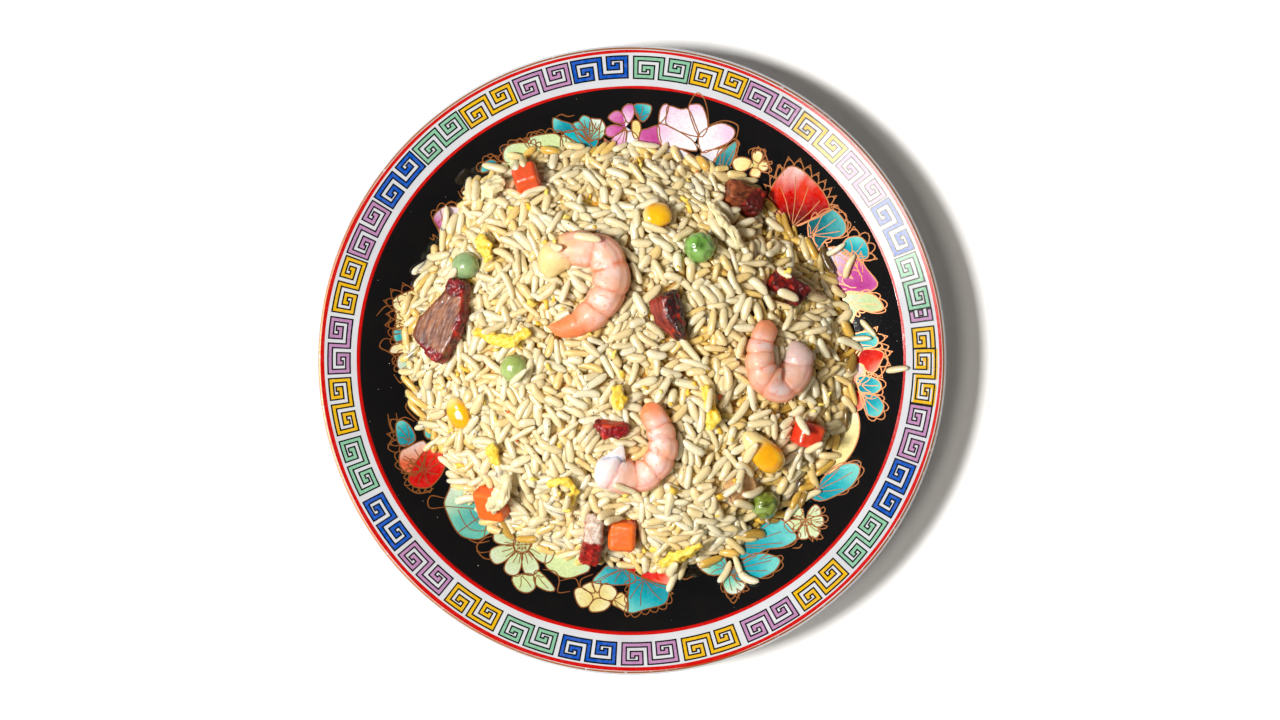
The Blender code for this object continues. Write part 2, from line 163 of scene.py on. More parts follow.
class PlateSettings(bpy.types.PropertyGroup):
    ground: FloatVectorProperty(
        name="Ground", description="Glaze inside the border", subtype="COLOR", default=(0.004, 0.004, 0.005)
    )
    glaze: FloatVectorProperty(
        name="Glaze", description="White glaze of the rim and the underside", subtype="COLOR",
        default=tone(0.81, 0.82, 0.845),
    )
    line_red: FloatVectorProperty(
        name="Line red", description="The two lines round the border", subtype="COLOR", default=tone(0.80, 0.06, 0.03)
    )
    gold: FloatVectorProperty(
        name="Gold", description="Outlines and the line at the edge", subtype="COLOR", default=tone(0.74, 0.46, 0.24)
    )
    key_yellow: FloatVectorProperty(
        name="Key yellow", description="Yellow meanders", subtype="COLOR", default=tone(0.91, 0.71, 0.05)
    )
    key_purple: FloatVectorProperty(
        name="Key purple", description="Purple meanders", subtype="COLOR", default=tone(0.73, 0.53, 0.71)
    )
    key_blue: FloatVectorProperty(
        name="Key blue", description="Blue meanders", subtype="COLOR", default=tone(0.03, 0.33, 0.75)
    )
    key_green: FloatVectorProperty(
        name="Key green", description="Green meanders", subtype="COLOR", default=tone(0.53, 0.76, 0.63)
    )
    line_width: FloatProperty(
        name="Line width", description="Outlines of the flowers", subtype="DISTANCE", unit="LENGTH", default=0.38 * MM
    )
    key_line_width: FloatProperty(
        name="Key line width", description="Outlines of the meanders", subtype="DISTANCE", unit="LENGTH",
        default=0.48 * MM,
    )


class RiceSettings(bpy.types.PropertyGroup):
    length: FloatProperty(
        name="Grain length", description="A whole cooked grain", subtype="DISTANCE", unit="LENGTH", default=8.4 * MM
    )
    width: FloatProperty(
        name="Grain width", description="Across a cooked grain", subtype="DISTANCE", unit="LENGTH", default=2.8 * MM
    )
    count: IntProperty(name="Grains", description="Grains in the heap's outer layers", default=3800, min=100)
    depth: FloatProperty(
        name="Depth", description="How deep the loose layers go", subtype="DISTANCE", unit="LENGTH", default=6.0 * MM
    )
    seed: IntProperty(name="Seed", description="Another seed lays the grains another way", default=11)
    pale: FloatVectorProperty(
        name="Pale grain", description="The whitest grains", subtype="COLOR", default=tone(0.92, 0.885, 0.76)
    )
    # Golden is also painted on the deeper grains as painted shade between them.
    golden: FloatVectorProperty(
        name="Golden grain", description="Grains that took up most oil and egg", subtype="COLOR",
        default=tone(0.93, 0.75, 0.33),
    )
    core: FloatVectorProperty(
        name="Core", description="The packed rice below the loose grains", subtype="COLOR",
        default=tone(0.93, 0.68, 0.26),
    )


class FoodSettings(bpy.types.PropertyGroup):
    shrimp: FloatVectorProperty(
        name="Shrimp", description="Flesh of the shrimps", subtype="COLOR", default=tone(0.92, 0.72, 0.61)
    )
    shrimp_back: FloatVectorProperty(
        name="Shrimp back", description="Back, joints and tail of the shrimps", subtype="COLOR",
        default=tone(0.92, 0.50, 0.29),
    )
    carrot: FloatVectorProperty(
        name="Carrot", description="Diced carrot", subtype="COLOR", default=tone(0.95, 0.42, 0.13)
    )
    corn: FloatVectorProperty(
        name="Corn", description="Corn kernels", subtype="COLOR", default=tone(0.99, 0.76, 0.10)
    )
    egg: FloatVectorProperty(name="Egg", description="Yellow egg", subtype="COLOR", default=tone(0.99, 0.91, 0.44))
    egg_white: FloatVectorProperty(
        name="Egg white", description="Egg white and chicken", subtype="COLOR", default=tone(0.96, 0.92, 0.76)
    )


class StageSettings(bpy.types.PropertyGroup):
    floor: FloatVectorProperty(
        name="Floor", description="The plain floor", subtype="COLOR", default=tone(0.97, 0.97, 0.97)
    )
    key_power: FloatProperty(name="Key light", description="Lamp at the left", subtype="POWER", default=50)
    side_power: FloatProperty(name="Side light", description="Soft box at the lower left", subtype="POWER", default=5.3)
    camera_distance: FloatProperty(
        name="Camera distance", description="Above the rim", subtype="DISTANCE", unit="LENGTH", default=0.9
    )


# ---------------------------------------------------------------- meshes


def piece(name, mesh, material, slot, *replaced):
    """A finished object that rides with the plate."""
    mesh.materials.clear()
    mesh.materials.append(material)
    made = bpy.data.objects.new(name, mesh)
    bpy.context.scene.collection.objects.link(made)
    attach(made, "root")
    if replaced:
        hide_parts(*replaced)
    return made


def mesh_of(name, points, faces, paint=None, smooth=True):
    """A mesh from rows of points and faces, with a colour for each point if it is painted."""
    mesh = bpy.data.meshes.new(name)
    mesh.from_pydata([tuple(p) for p in points], [], [tuple(f) for f in faces])
    mesh.update()
    if smooth:
        mesh.shade_smooth()
    if paint is not None:
        set_paint(mesh, paint)
    return mesh


def set_paint(mesh, colours):
    """Stores a colour for each point, which the material reads."""
    layer = mesh.attributes.new("paint", "FLOAT_COLOR", "POINT")
    rows = np.ones((len(colours), 4), np.float32)
    rows[:, :3] = np.array(colours, np.float32)
    layer.data.foreach_set("color", rows.ravel())


def grid_faces(rows, columns, closed=True):
    """Quads between rows of points, which may close on themselves."""
    faces = []
    for i in range(rows - 1):
        for k in range(columns if closed else columns - 1):
            n = (k + 1) % columns
            faces.append((i * columns + k, i * columns + n, (i + 1) * columns + n, (i + 1) * columns + k))
    return faces


def outward(mesh):
    """Turns every face outwards."""
    bm = bmesh.new()
    bm.from_mesh(mesh)
    bmesh.ops.remove_doubles(bm, verts=bm.verts, dist=0.001 * MM)
    bmesh.ops.recalc_face_normals(bm, faces=bm.faces)
    bm.to_mesh(mesh)
    bm.free()
    mesh.shade_smooth()
    return mesh


def merged_copy(node):
    """The solid's mesh as one body, in a new mesh."""
    bm = bmesh.new()
    bm.from_mesh(frame["nodes"][node].data)
    bmesh.ops.remove_doubles(bm, verts=bm.verts, dist=0.005 * MM)
    mesh = bpy.data.meshes.new(f"{node}_copy")
    bm.to_mesh(mesh)
    bm.free()
    for layer in list(mesh.attributes):
        if layer.name not in ("position", ".edge_verts", ".corner_vert", ".corner_edge"):
            if not layer.is_required:
                mesh.attributes.remove(layer)
    return mesh


def evaluated(mesh, *steps):
    """The mesh after modifiers, given as a type and its settings."""
    holder = bpy.data.objects.new("holder", mesh)
    bpy.context.scene.collection.objects.link(holder)
    for kind, settings in steps:
        modifier = holder.modifiers.new(kind.lower(), kind)
        for key, value in settings.items():
            setattr(modifier, key, value)
    bpy.context.view_layer.update()
    made = bpy.data.meshes.new_from_object(holder.evaluated_get(bpy.context.evaluated_depsgraph_get()))
    bpy.data.objects.remove(holder)
    made.shade_smooth()
    return made


def remeshed(node, voxel, smoothing=6):
    """The solid's shape in small even faces, with its edges softened."""
    return evaluated(
        merged_copy(node),
        ("REMESH", {"mode": "VOXEL", "voxel_size": voxel}),
        ("SMOOTH", {"factor": 0.5, "iterations": smoothing}),
    )


def points_and_normals(mesh):
    count = len(mesh.vertices)
    points, normals = np.zeros(count * 3), np.zeros(count * 3)
    mesh.vertices.foreach_get("co", points)
    mesh.vertices.foreach_get("normal", normals)
    return points.reshape(-1, 3), normals.reshape(-1, 3)


def push(mesh, height):
    """Moves each point along its normal by height(point, normal)."""
    points, normals = points_and_normals(mesh)
    moves = np.array([height(Vector(p), Vector(n)) for p, n in zip(points, normals)])
    mesh.vertices.foreach_set("co", (points + normals * moves[:, None]).ravel())
    mesh.update()
    return mesh


def grit(point, size, octaves=3):
    """Layered noise of about this size, from -1 to 1."""
    return noise.fractal(point / size, 1.0, 2.0, octaves) * 0.8


def tree_of(mesh):
    points, _ = points_and_normals(mesh)
    return BVHTree.FromPolygons([Vector(p) for p in points], [tuple(f.vertices) for f in mesh.polygons])


def span_at(tree, x, y):
    """Lowest and highest point of a solid on the upright line through x, y, or None."""
    above = tree.ray_cast(Vector((x, y, 0.2)), Vector((0, 0, -1)))[0]
    below = tree.ray_cast(Vector((x, y, -0.2)), Vector((0, 0, 1)))[0]
    return (below.z, above.z) if above and below else None


def through(points, count):
    """This many points, evenly stepped, on a smooth open curve through the given rows of numbers."""
    rows = [Vector(p) for p in points]
    rows = [2 * rows[0] - rows[1], *rows, 2 * rows[-1] - rows[-2]]
    spans = len(rows) - 3
    found = []
    for i in range(count):
        along = i * spans / (count - 1)
        k = min(int(along), spans - 1)
        t = along - k
        a, b, c, d = rows[k : k + 4]
        bend = (2 * a - 5 * b + 4 * c - d) * t * t + (3 * b - a - 3 * c + d) * t**3
        found.append(b + ((c - a) * t + bend) / 2)
    return found


# ---------------------------------------------------------------- materials


class Finish:
    """Builds one material's node tree."""

    def __init__(self, name):
        self.material = bpy.data.materials.new(name)
        self.material.use_nodes = True
        self.tree = self.material.node_tree
        self.shader = self.tree.nodes["Principled BSDF"]
        self.place = self.node("ShaderNodeTexCoord").outputs["Object"]

    def node(self, kind, **settings):
        made = self.tree.nodes.new(kind)
        for key, value in settings.items():
            setattr(made, key, value)
        return made

    def link(self, source, target):
        self.tree.links.new(source, target)

    def set(self, **values):
        """Constant values, by the socket's name with spaces as underscores."""
        for key, value in values.items():
            self.shader.inputs[key.replace("_", " ")].default_value = value
        return self

    def scaled(self, across, along, turn=0.0):
        """Object coordinates with a coarser scale along one axis, for fibres."""
        mapping = self.node("ShaderNodeMapping")
        mapping.inputs["Rotation"].default_value = (0, 0, turn)
        mapping.inputs["Scale"].default_value = (along, across, across)
        self.link(self.place, mapping.inputs["Vector"])
        return mapping.outputs["Vector"]

    def noise(self, size, detail=4, roughness=0.55, vector=None):
        """Noise whose blotches are about this wide."""
        made = self.node("ShaderNodeTexNoise")
        made.inputs["Scale"].default_value = 1 / size
        made.inputs["Detail"].default_value = detail
        made.inputs["Roughness"].default_value = roughness
        self.link(vector or self.place, made.inputs["Vector"])
        return made.outputs["Fac"]

    def range(self, value, low, high, new_low, new_high):
        made = self.node("ShaderNodeMapRange")
        for name, number in (("From Min", low), ("From Max", high), ("To Min", new_low), ("To Max", new_high)):
            made.inputs[name].default_value = number
        self.link(value, made.inputs["Value"])
        return made.outputs["Result"]

    def blend(self, share, first, second, how="MIX"):
        """A mix of two colours, each a socket or a fixed colour."""
        made = self.node("ShaderNodeMix", data_type="RGBA", blend_type=how)
        colour_inputs = [s for s in made.inputs if s.type == "RGBA"]
        for socket, value in ((made.inputs["Factor"], share), *zip(colour_inputs, (first, second))):
            if isinstance(value, bpy.types.NodeSocket):
                self.link(value, socket)
            elif isinstance(value, (int, float)):
                socket.default_value = value
            else:
                socket.default_value = (*value, 1)
        return next(s for s in made.outputs if s.type == "RGBA")

    def attribute(self, name, output="Color"):
        made = self.node("ShaderNodeAttribute", attribute_name=name)
        return made.outputs[output]

    def times(self, first, second):
        made = self.node("ShaderNodeMath", operation="MULTIPLY")
        self.link(first, made.inputs[0])
        if isinstance(second, bpy.types.NodeSocket):
            self.link(second, made.inputs[1])
        else:
            made.inputs[1].default_value = second
        return made.outputs[0]

    def colour(self, socket):
        self.link(socket, self.shader.inputs["Base Color"])
        return self

    def rough(self, socket):
        self.link(socket, self.shader.inputs["Roughness"])
        return self

    def bump(self, height, depth, strength=1.0):
        made = self.node("ShaderNodeBump")
        made.inputs["Distance"].default_value = depth
        made.inputs["Strength"].default_value = strength
        self.link(height, made.inputs["Height"])
        self.link(made.outputs["Normal"], self.shader.inputs["Normal"])
        return self


def glaze_material(name, colour, stain, wear=0.0):
    """Porcelain glaze with faint orange peel and stains."""
    made = Finish(name).set(IOR=1.52, Specular_IOR_Level=0.5)
    blotch = made.range(made.noise(14 * MM), 0.35, 0.75, 0, 1)
    made.colour(made.blend(blotch, colour, stain))
    made.rough(made.range(made.noise(5 * MM, 6), 0.3, 0.8, 0.05 + wear, 0.13 + wear))
    made.bump(made.noise(2.2 * MM, 2), 0.012 * MM)
    return made.material


def ground_material(colour):
    """Black glaze with hairline scratches from cutlery, slightly hazy: its grey patches are partly a worn dullness and
    partly painted sheen.
    """
    made = Finish("black_glaze").set(IOR=1.5, Specular_IOR_Level=0.5)
    # Grey patches: partly a worn dullness of the glaze, partly painted sheen of reflected light.
    haze_and_sheen = made.range(made.noise(9 * MM, 5), 0.45, 0.8, 0, 1)
    made.colour(made.blend(haze_and_sheen, colour, tone(0.07, 0.068, 0.066)))
    scratch_a = made.noise(0.35 * MM, 2, vector=made.scaled(1, 0.03, 0.6))
    scratch_b = made.noise(0.3 * MM, 2, vector=made.scaled(1, 0.025, 2.3))
    fine = made.times(made.range(scratch_a, 0.62, 0.75, 0, 1), 1)
    cross = made.range(scratch_b, 0.64, 0.76, 0, 1)
    both = made.blend(0.5, fine, cross, "ADD")
    made.rough(made.range(both, 0, 1, 0.07, 0.22))
    made.bump(made.noise(2.5 * MM, 2), 0.015 * MM)
    return made.material


def enamel_material(name, roughness, thickness, thin_share, spread=0.1):
    """Opaque overglaze enamel whose colour is painted on its points, brushed a little unevenly."""
    made = Finish(name).set(Specular_IOR_Level=0.5)
    paint = made.attribute("paint")
    thin = made.range(made.noise(1.6 * MM, 5), 0.42, 0.8, 0, thin_share)
    brushed = made.blend(thin, paint, tone(0.98, 0.98, 0.97))
    pooled = made.range(made.noise(0.9 * MM, 3), 0.2, 0.75, 0.72, 0.98)
    made.colour(made.blend(1.0, brushed, pooled, "MULTIPLY"))
    made.rough(made.range(made.noise(0.8 * MM), 0.3, 0.8, roughness, roughness + spread))
    made.bump(made.noise(0.7 * MM, 3), thickness)
    return made.material


def gold_material(name, gold, worn_to, worn_share, shine):
    """Fired gold, rubbed through in places."""
    made = Finish(name).set(Specular_IOR_Level=0.5)
    rubbed = made.range(made.noise(1.6 * MM, 6, 0.7), worn_share, worn_share + 0.06, 0, 1)
    dull = made.blend(made.noise(0.6 * MM), gold, mix(gold, tone(0.25, 0.14, 0.09), 0.6))
    made.colour(made.blend(rubbed, dull, worn_to))
    made.link(made.range(rubbed, 0, 1, shine, 0), made.shader.inputs["Metallic"])
    made.rough(made.range(made.noise(0.5 * MM), 0.3, 0.8, 0.28, 0.5))
    return made.material


def food_material(name, mottle, bump_size, bump_depth, roughness, glow, glow_reach, gloss=0.0):
    """Moist food whose colour is painted on its points: mottled, lightly rough and letting light in."""
    made = Finish(name).set(Specular_IOR_Level=0.5, Coat_Weight=gloss, Coat_Roughness=0.12)
    made.set(Subsurface_Weight=glow, Subsurface_Radius=(1.0, 0.55, 0.3), Subsurface_Scale=glow_reach)
    paint = made.attribute("paint")
    patch = made.range(made.noise(bump_size * 2.5, 5), 0.3, 0.75, 1 - mottle, 1 + mottle * 0.5)
    made.colour(made.blend(1.0, paint, patch, "MULTIPLY"))
    made.rough(made.range(made.noise(bump_size, 3), 0.3, 0.75, roughness, roughness + 0.2))
    made.bump(made.noise(bump_size, 4), bump_depth)
    return made.material


def rice_material(pale, golden):
    """Cooked rice: each grain has its own tint, with chalky ends, and a film of oil. The tint also carries painted
    shade: golden on deep grains, and dark brown past 0.8 on deep grains at the right.
    """
    made = Finish("rice_grain").set(Specular_IOR_Level=0.5, Coat_Weight=0.35, Coat_Roughness=0.14)
    made.set(Subsurface_Weight=0.9, Subsurface_Radius=(0.88, 0.94, 1.0), Subsurface_Scale=2.4 * MM)
    tint = made.attribute("tint", "Fac")
    # Painted shade: tints from 0.8 to 1.6 darken the grain towards dark brown.
    body = made.blend(made.range(tint, 0.8, 1.6, 0, 1), made.blend(tint, pale, golden), tone(0.40, 0.31, 0.16))
    chalk = made.range(made.attribute("along", "Fac"), 0.78, 1.0, 0, 0.35)
    ends = made.blend(chalk, body, tone(0.99, 0.97, 0.91))
    streak = made.range(made.noise(0.9 * MM, 4), 0.3, 0.8, 0.90, 1.04)
    made.colour(made.blend(1.0, ends, streak, "MULTIPLY"))
    made.rough(made.range(made.noise(0.8 * MM, 3), 0.3, 0.75, 0.18, 0.38))
    made.bump(made.noise(0.6 * MM, 3), 0.05 * MM)
    return made.material


def core_material(core):
    """Packed rice seen between the grains: amber with oil, with painted shade: darker in patches, and much darker
    towards the right, where the heap is in shade.
    """
    made = Finish("rice_core").set(Subsurface_Weight=0.3, Subsurface_Radius=(1.0, 0.6, 0.25))
    made.set(Subsurface_Scale=2 * MM)
    # Painted shade: the core is darker in noise patches.
    shade = made.range(made.noise(3 * MM, 4), 0.3, 0.7, 0, 1)
    split = made.node("ShaderNodeSeparateXYZ")
    made.link(made.place, split.inputs["Vector"])
    # Painted shade: towards the right the core darkens to nearly black brown.
    right = made.range(split.outputs["X"], -10 * MM, 45 * MM, 0, 1)
    lit = made.blend(shade, mix(core, (0, 0, 0), 0.4), core)
    made.colour(made.blend(right, lit, mix(core, (0.02, 0.01, 0.0), 0.8)))
    made.rough(made.range(made.noise(1 * MM), 0.3, 0.7, 0.35, 0.6))
    made.bump(made.noise(1.6 * MM, 3), 0.6 * MM)
    return made.material


# ---------------------------------------------------------------- porcelain


def face_height(radius):
    """Height of the plate's upper face at this distance from its axis."""
    climb = (min(radius, LIP_RADIUS) - MIDDLE_RADIUS) / (LIP_RADIUS - MIDDLE_RADIUS)
    return FLOOR_HEIGHT + WALL_RISE * max(climb, 0) ** WALL_CURVE + LIP_SLOPE * max(radius - LIP_RADIUS, 0)


def on_plate(x, y, lift):
    return Vector((x, y, face_height(math.hypot(x, y)) + lift))


# Where each finish of the upper face ends: black ground, red line, white, red line, white, gold line.
BANDS = (
    (LIP_RADIUS - 0.15 * MM, "ground"),
    (LIP_RADIUS, "ground"),
    (LIP_RADIUS + 0.15 * MM, "red"),
    (LIP_RADIUS + 0.6 * MM, "red"),
    (100.85 * MM, "glaze"),
    (101.3 * MM, "gold"),
)


def plate_profile():
    """Half the plate's section as radius, height and finish, from the middle of its face round to its underside."""
    edge_radius = EDGE_THICKNESS / 2
    turn = PLATE_RADIUS - edge_radius
    profile = [(0.0, FLOOR_HEIGHT, "ground")]
    radius = 0.0
    for limit, finish in BANDS:
        start, span = radius, min(limit, turn) - radius
        steps = max(1, round(span / (1.4 * MM)))
        if span > 0:
            profile += [
                (start + span * i / steps, face_height(start + span * i / steps), finish) for i in range(1, steps + 1)
            ]
            radius = start + span
    middle = face_height(turn) - edge_radius
    lean = math.atan(LIP_SLOPE)
    for i in range(1, 15):
        angle = -lean * 0.6 + math.radians(168) * i / 14
        out = turn + edge_radius * math.sin(angle)
        band = "gold" if turn < out < BANDS[-1][0] and angle < math.pi / 2 else "glaze"
        profile.append((out, middle + edge_radius * math.cos(angle), band))
    radius = turn - 1.2 * MM
    while radius > FOOT_RADIUS + 3 * MM:
        thickness = FLOOR_THICKNESS + (EDGE_THICKNESS - FLOOR_THICKNESS) * radius / PLATE_RADIUS
        profile.append((radius, face_height(radius) - thickness * 1.12, "glaze"))
        radius -= 1.8 * MM
    inner = FOOT_RADIUS - FOOT_WIDTH
    recess = FLOOR_HEIGHT - FLOOR_THICKNESS
    profile += [
        (FOOT_RADIUS + 2.2 * MM, 2.9 * MM, "glaze"),
        (FOOT_RADIUS + 1.0 * MM, 1.5 * MM, "glaze"),
        (FOOT_RADIUS + 0.4 * MM, 0.5 * MM, "biscuit"),
        (FOOT_RADIUS - 0.3 * MM, 0.0, "biscuit"),
        (inner + 0.4 * MM, 0.0, "biscuit"),
        (inner - 0.3 * MM, 0.5 * MM, "biscuit"),
        (inner - 0.8 * MM, 1.6 * MM, "glaze"),
        (inner - 2.0 * MM, recess - 0.1 * MM, "glaze"),
        (inner - 4.0 * MM, recess, "glaze"),
        (20 * MM, recess, "glaze"),
        (0.0, recess, "glaze"),
    ]
    return profile


def turned_mesh(name, profile, steps, finishes):
    """Turns the section about Z. Each face takes the finish of its outer row."""
    middle_rows = profile[1:-1]
    points = [Vector((0, 0, profile[0][1])), Vector((0, 0, profile[-1][1]))]
    for radius, height, _ in middle_rows:
        points += [
            Vector((radius * math.cos(a), radius * math.sin(a), height))
            for a in (math.tau * k / steps for k in range(steps))
        ]
    last = 2 + (len(middle_rows) - 1) * steps
    faces = [(0, 2 + k, 2 + (k + 1) % steps) for k in range(steps)]
    used = [profile[1][2]] * steps
    for i, face in enumerate(grid_faces(len(middle_rows), steps)):
        faces.append(tuple(2 + corner for corner in reversed(face)))
        used.append(middle_rows[i // steps + 1][2])
    faces += [(1, last + (k + 1) % steps, last + k) for k in range(steps)]
    used += [profile[-1][2]] * steps
    mesh = mesh_of(name, points, faces)
    for finish in finishes.values():
        mesh.materials.append(finish)
    order = list(finishes)
    mesh.polygons.foreach_set("material_index", [order.index(u) for u in used])
    return mesh


class Painter:
    """Collects painted strips and patches that lie on the plate's face."""

    def __init__(self, lift):
        self.lift = lift
        self.points, self.faces, self.paint = [], [], []

    def grid(self, rows, colours):
        """A patch from equal rows of x, y, with a colour for each."""
        start, wide = len(self.points), len(rows[0])
        for row, shades in zip(rows, colours):
            self.points += [on_plate(x, y, self.lift) for x, y in row]
            self.paint += shades
        for face in grid_faces(len(rows), wide, closed=False):
            self.faces.append(tuple(start + corner for corner in face))

    def disc(self, hub, rows, colours):
        """A patch from its hub outwards, in closed rows of x, y, with a colour for the hub and for each spot."""
        start, wide = len(self.points), len(rows[0])
        self.points.append(on_plate(*hub, self.lift))
        self.paint.append(colours[0])
        for row, shades in zip(rows, colours[1:]):
            self.points += [on_plate(x, y, self.lift) for x, y in row]
            self.paint += shades
        self.faces += [(start, start + 1 + k, start + 1 + (k + 1) % wide) for k in range(wide)]
        self.faces += [tuple(start + 1 + corner for corner in face) for face in grid_faces(len(rows), wide)]

    def line(self, path, width, colour, closed=False, taper=False):
        """A stroke along x, y points, mitred at its corners."""
        spots = [Vector(p) for p in path]
        count = len(spots)
        left, right = [], []
        for i, spot in enumerate(spots):
            before = spots[i - 1] if i or closed else spot
            after = spots[(i + 1) % count] if i + 1 < count or closed else spot
            into = (spot - before).normalized() if spot != before else (after - spot).normalized()
            out = (after - spot).normalized() if after != spot else into
            side = Vector((-(into + out).y, (into + out).x))
            side = side.normalized() if side.length > 1e-9 else Vector((-into.y, into.x))
            stretch = 1 / max(side.dot(Vector((-into.y, into.x))), 0.4)
            half = width / 2 * stretch
            if taper:
                half *= 0.35 + 0.65 * math.sin(math.pi * (0.08 + 0.84 * i / max(count - 1, 1)))
            left.append(tuple(spot + side * half))
            right.append(tuple(spot - side * half))
        if closed:
            left.append(left[0])
            right.append(right[0])
        self.grid([left, right], [[colour] * len(left)] * 2)

    def mesh(self, name):
        mesh = mesh_of(name, self.points, self.faces, self.paint)
        downward = [p.index for p in mesh.polygons if p.normal.z < 0]
        bm = bmesh.new()
        bm.from_mesh(mesh)
        bm.faces.ensure_lookup_table()
        bmesh.ops.reverse_faces(bm, faces=[bm.faces[i] for i in downward])
        bm.to_mesh(mesh)
        bm.free()
        return mesh


def key_strip(start_degrees, outer_radius, line):
    """Both edges of a meander's ribbon as x, y points. It runs clockwise from its start, 0 at the far side."""
    corners = [Vector(p) for p in line]
    stations = []
    for i, corner in enumerate(corners):
        into = (corner - corners[i - 1]).normalized() if i else (corners[1] - corner).normalized()
        out = (corners[i + 1] - corner).normalized() if i + 1 < len(corners) else into
        side = Vector((-into.y, into.x)) + Vector((-out.y, out.x))
        side = side / max(side.length_squared / 2, 1e-6)
        push_out = 0.0
        if i == 0:
            push_out = -0.5
        if i + 1 == len(corners):
            push_out = 0.5
        spot = corner + into * push_out
        if stations:
            before, before_side = stations[-1]
            pieces = max(1, round((spot - before).length / 1.3))
            stations += [
                (before.lerp(spot, k / pieces), Vector((-into.y, into.x))) for k in range(1, pieces)
            ]
        stations.append((spot, side))

    def place(spot):
        radius = outer_radius - spot.y * KEY_UNIT
        turn = math.radians(90 - start_degrees - spot.x / KEY_LENGTH * KEY_SPAN_DEGREES)
        return radius * math.cos(turn), radius * math.sin(turn)

    def edges(reach, slip=(0, 0)):
        shift = Vector(slip)
        return tuple([place(spot + shift + side * reach * sign) for spot, side in stations] for sign in (-1, 1))

    return edges


def paint_key_border(plate):
    """Meanders in four colours, with black outlines that their fill misses by a hair."""
    colours = {
        "Y": tuple(plate.key_yellow), "P": tuple(plate.key_purple),
        "B": tuple(plate.key_blue), "G": tuple(plate.key_green),
    }
    slips = {"Y": (0.08, -0.05), "P": (-0.06, 0.05), "B": (0.02, 0.08), "G": (-0.05, -0.06)}
    fill, outline = Painter(PAINT_LIFT), Painter(LINE_LIFT)
    black = tone(0.02, 0.02, 0.025)
    meanders = [(letter, turn, KEY_LINE) for letter, turn in KEY_PLACES] + list(KEY_SEAM)
    for i, (letter, turn, line) in enumerate(meanders):
        wobble = 0.5 * MM * noise.noise(Vector((i * 0.45, 0.3, 0))) * (i < len(KEY_PLACES))
        edges = key_strip(turn, KEY_OUTER_RADIUS + wobble, line)
        left, right = edges(0.47, (0.1, -0.5) if turn == 87.7 else slips[letter])
        fill.grid([left, right], [[colours[letter]] * len(left)] * 2)
        left, right = edges(0.49)
        outline.line(left + right[::-1], plate.key_line_width, black, closed=True)
    return fill, outline


def paint_rings(plate):
    """The two red lines, drawn by hand on a wheel, so that they swell and thin a little."""
    rings = Painter(PAINT_LIFT)
    for number, (radius, width) in enumerate(((LIP_RADIUS + 0.35 * MM, 0.95 * MM), (99.9 * MM, 1.05 * MM))):
        rows = ([], [])
        for k in range(361):
            angle = math.radians(k)
            spot = Vector((math.cos(angle), math.sin(angle), number * 3))
            drift = noise.noise(spot * 2.2) * 0.3 * MM * number
            swell = 1 - 0.2 * math.cos(angle - math.pi / 4) + 0.25 * noise.noise(spot * 6 + Vector((5, 0, 0)))
            for row, sign in zip(rows, (-1, 1)):
                reach = radius + drift + sign * width / 2 * swell
                row.append((reach * math.cos(angle), reach * math.sin(angle)))
        rings.grid(rows, [[tuple(plate.line_red)] * 361] * 2)
    return rings


# Enamel colours from a petal's heart to its rim.
ENAMELS = {
    "turquoise": (tone(0.02, 0.50, 0.58), tone(0.06, 0.68, 0.74), tone(0.50, 0.86, 0.82)),
    "teal": (tone(0.03, 0.24, 0.27), tone(0.05, 0.50, 0.55), tone(0.40, 0.75, 0.74)),
    "sea": (tone(0.04, 0.62, 0.68), tone(0.42, 0.80, 0.72), tone(0.78, 0.90, 0.78), tone(0.90, 0.94, 0.92)),
    "stem": (tone(0.0, 0.72, 0.76), tone(0.0, 0.70, 0.75), tone(0.10, 0.68, 0.74)),
    "lime": (tone(0.85, 0.93, 0.68), tone(0.84, 0.92, 0.68), tone(0.80, 0.91, 0.76)),
    "blossom": (tone(0.80, 0.87, 0.62), tone(0.82, 0.90, 0.70), tone(0.87, 0.93, 0.80)),
    "magenta": (tone(0.72, 0.24, 0.56), tone(0.80, 0.36, 0.64), tone(0.88, 0.56, 0.78)),
    "orchid": (tone(0.97, 0.93, 0.97), tone(0.92, 0.72, 0.88), tone(0.80, 0.36, 0.70)),
    "lotus": (tone(0.96, 0.96, 0.98), tone(0.95, 0.92, 0.96), tone(0.93, 0.76, 0.90)),
    "snow": (tone(0.80, 0.78, 0.84), tone(0.93, 0.93, 0.96), tone(0.96, 0.96, 0.98)),
    "violet": (tone(0.70, 0.20, 0.54), tone(0.78, 0.34, 0.64), tone(0.88, 0.80, 0.88), tone(0.90, 0.90, 0.93)),
    # Scarlet's first, near-black stops, at the heart beside the heap, are painted shade; the reds after them are the
    # enamel's own shading.
    "scarlet": (
        tone(0.16, 0.02, 0.02), tone(0.50, 0.03, 0.03), tone(0.82, 0.07, 0.03), tone(0.88, 0.24, 0.10),
        tone(0.93, 0.88, 0.86),
    ),
    "poppy": (tone(0.70, 0.03, 0.03), tone(0.86, 0.08, 0.05), tone(0.90, 0.20, 0.10), tone(0.94, 0.62, 0.54)),
    "crimson": (tone(0.34, 0.02, 0.05), tone(0.62, 0.02, 0.07), tone(0.80, 0.04, 0.07)),
    "peach": (tone(0.82, 0.22, 0.10), tone(0.92, 0.44, 0.28), tone(0.94, 0.72, 0.62), tone(0.90, 0.86, 0.90)),
    "leaf": (tone(0.86, 0.92, 0.82), tone(0.78, 0.86, 0.62), tone(0.82, 0.86, 0.66)),
    "cream": (tone(0.95, 0.89, 0.60), tone(0.96, 0.91, 0.66), tone(0.97, 0.95, 0.84)),
    "yellow": (tone(0.92, 0.82, 0.48), tone(0.95, 0.90, 0.62), tone(0.96, 0.94, 0.76)),
}

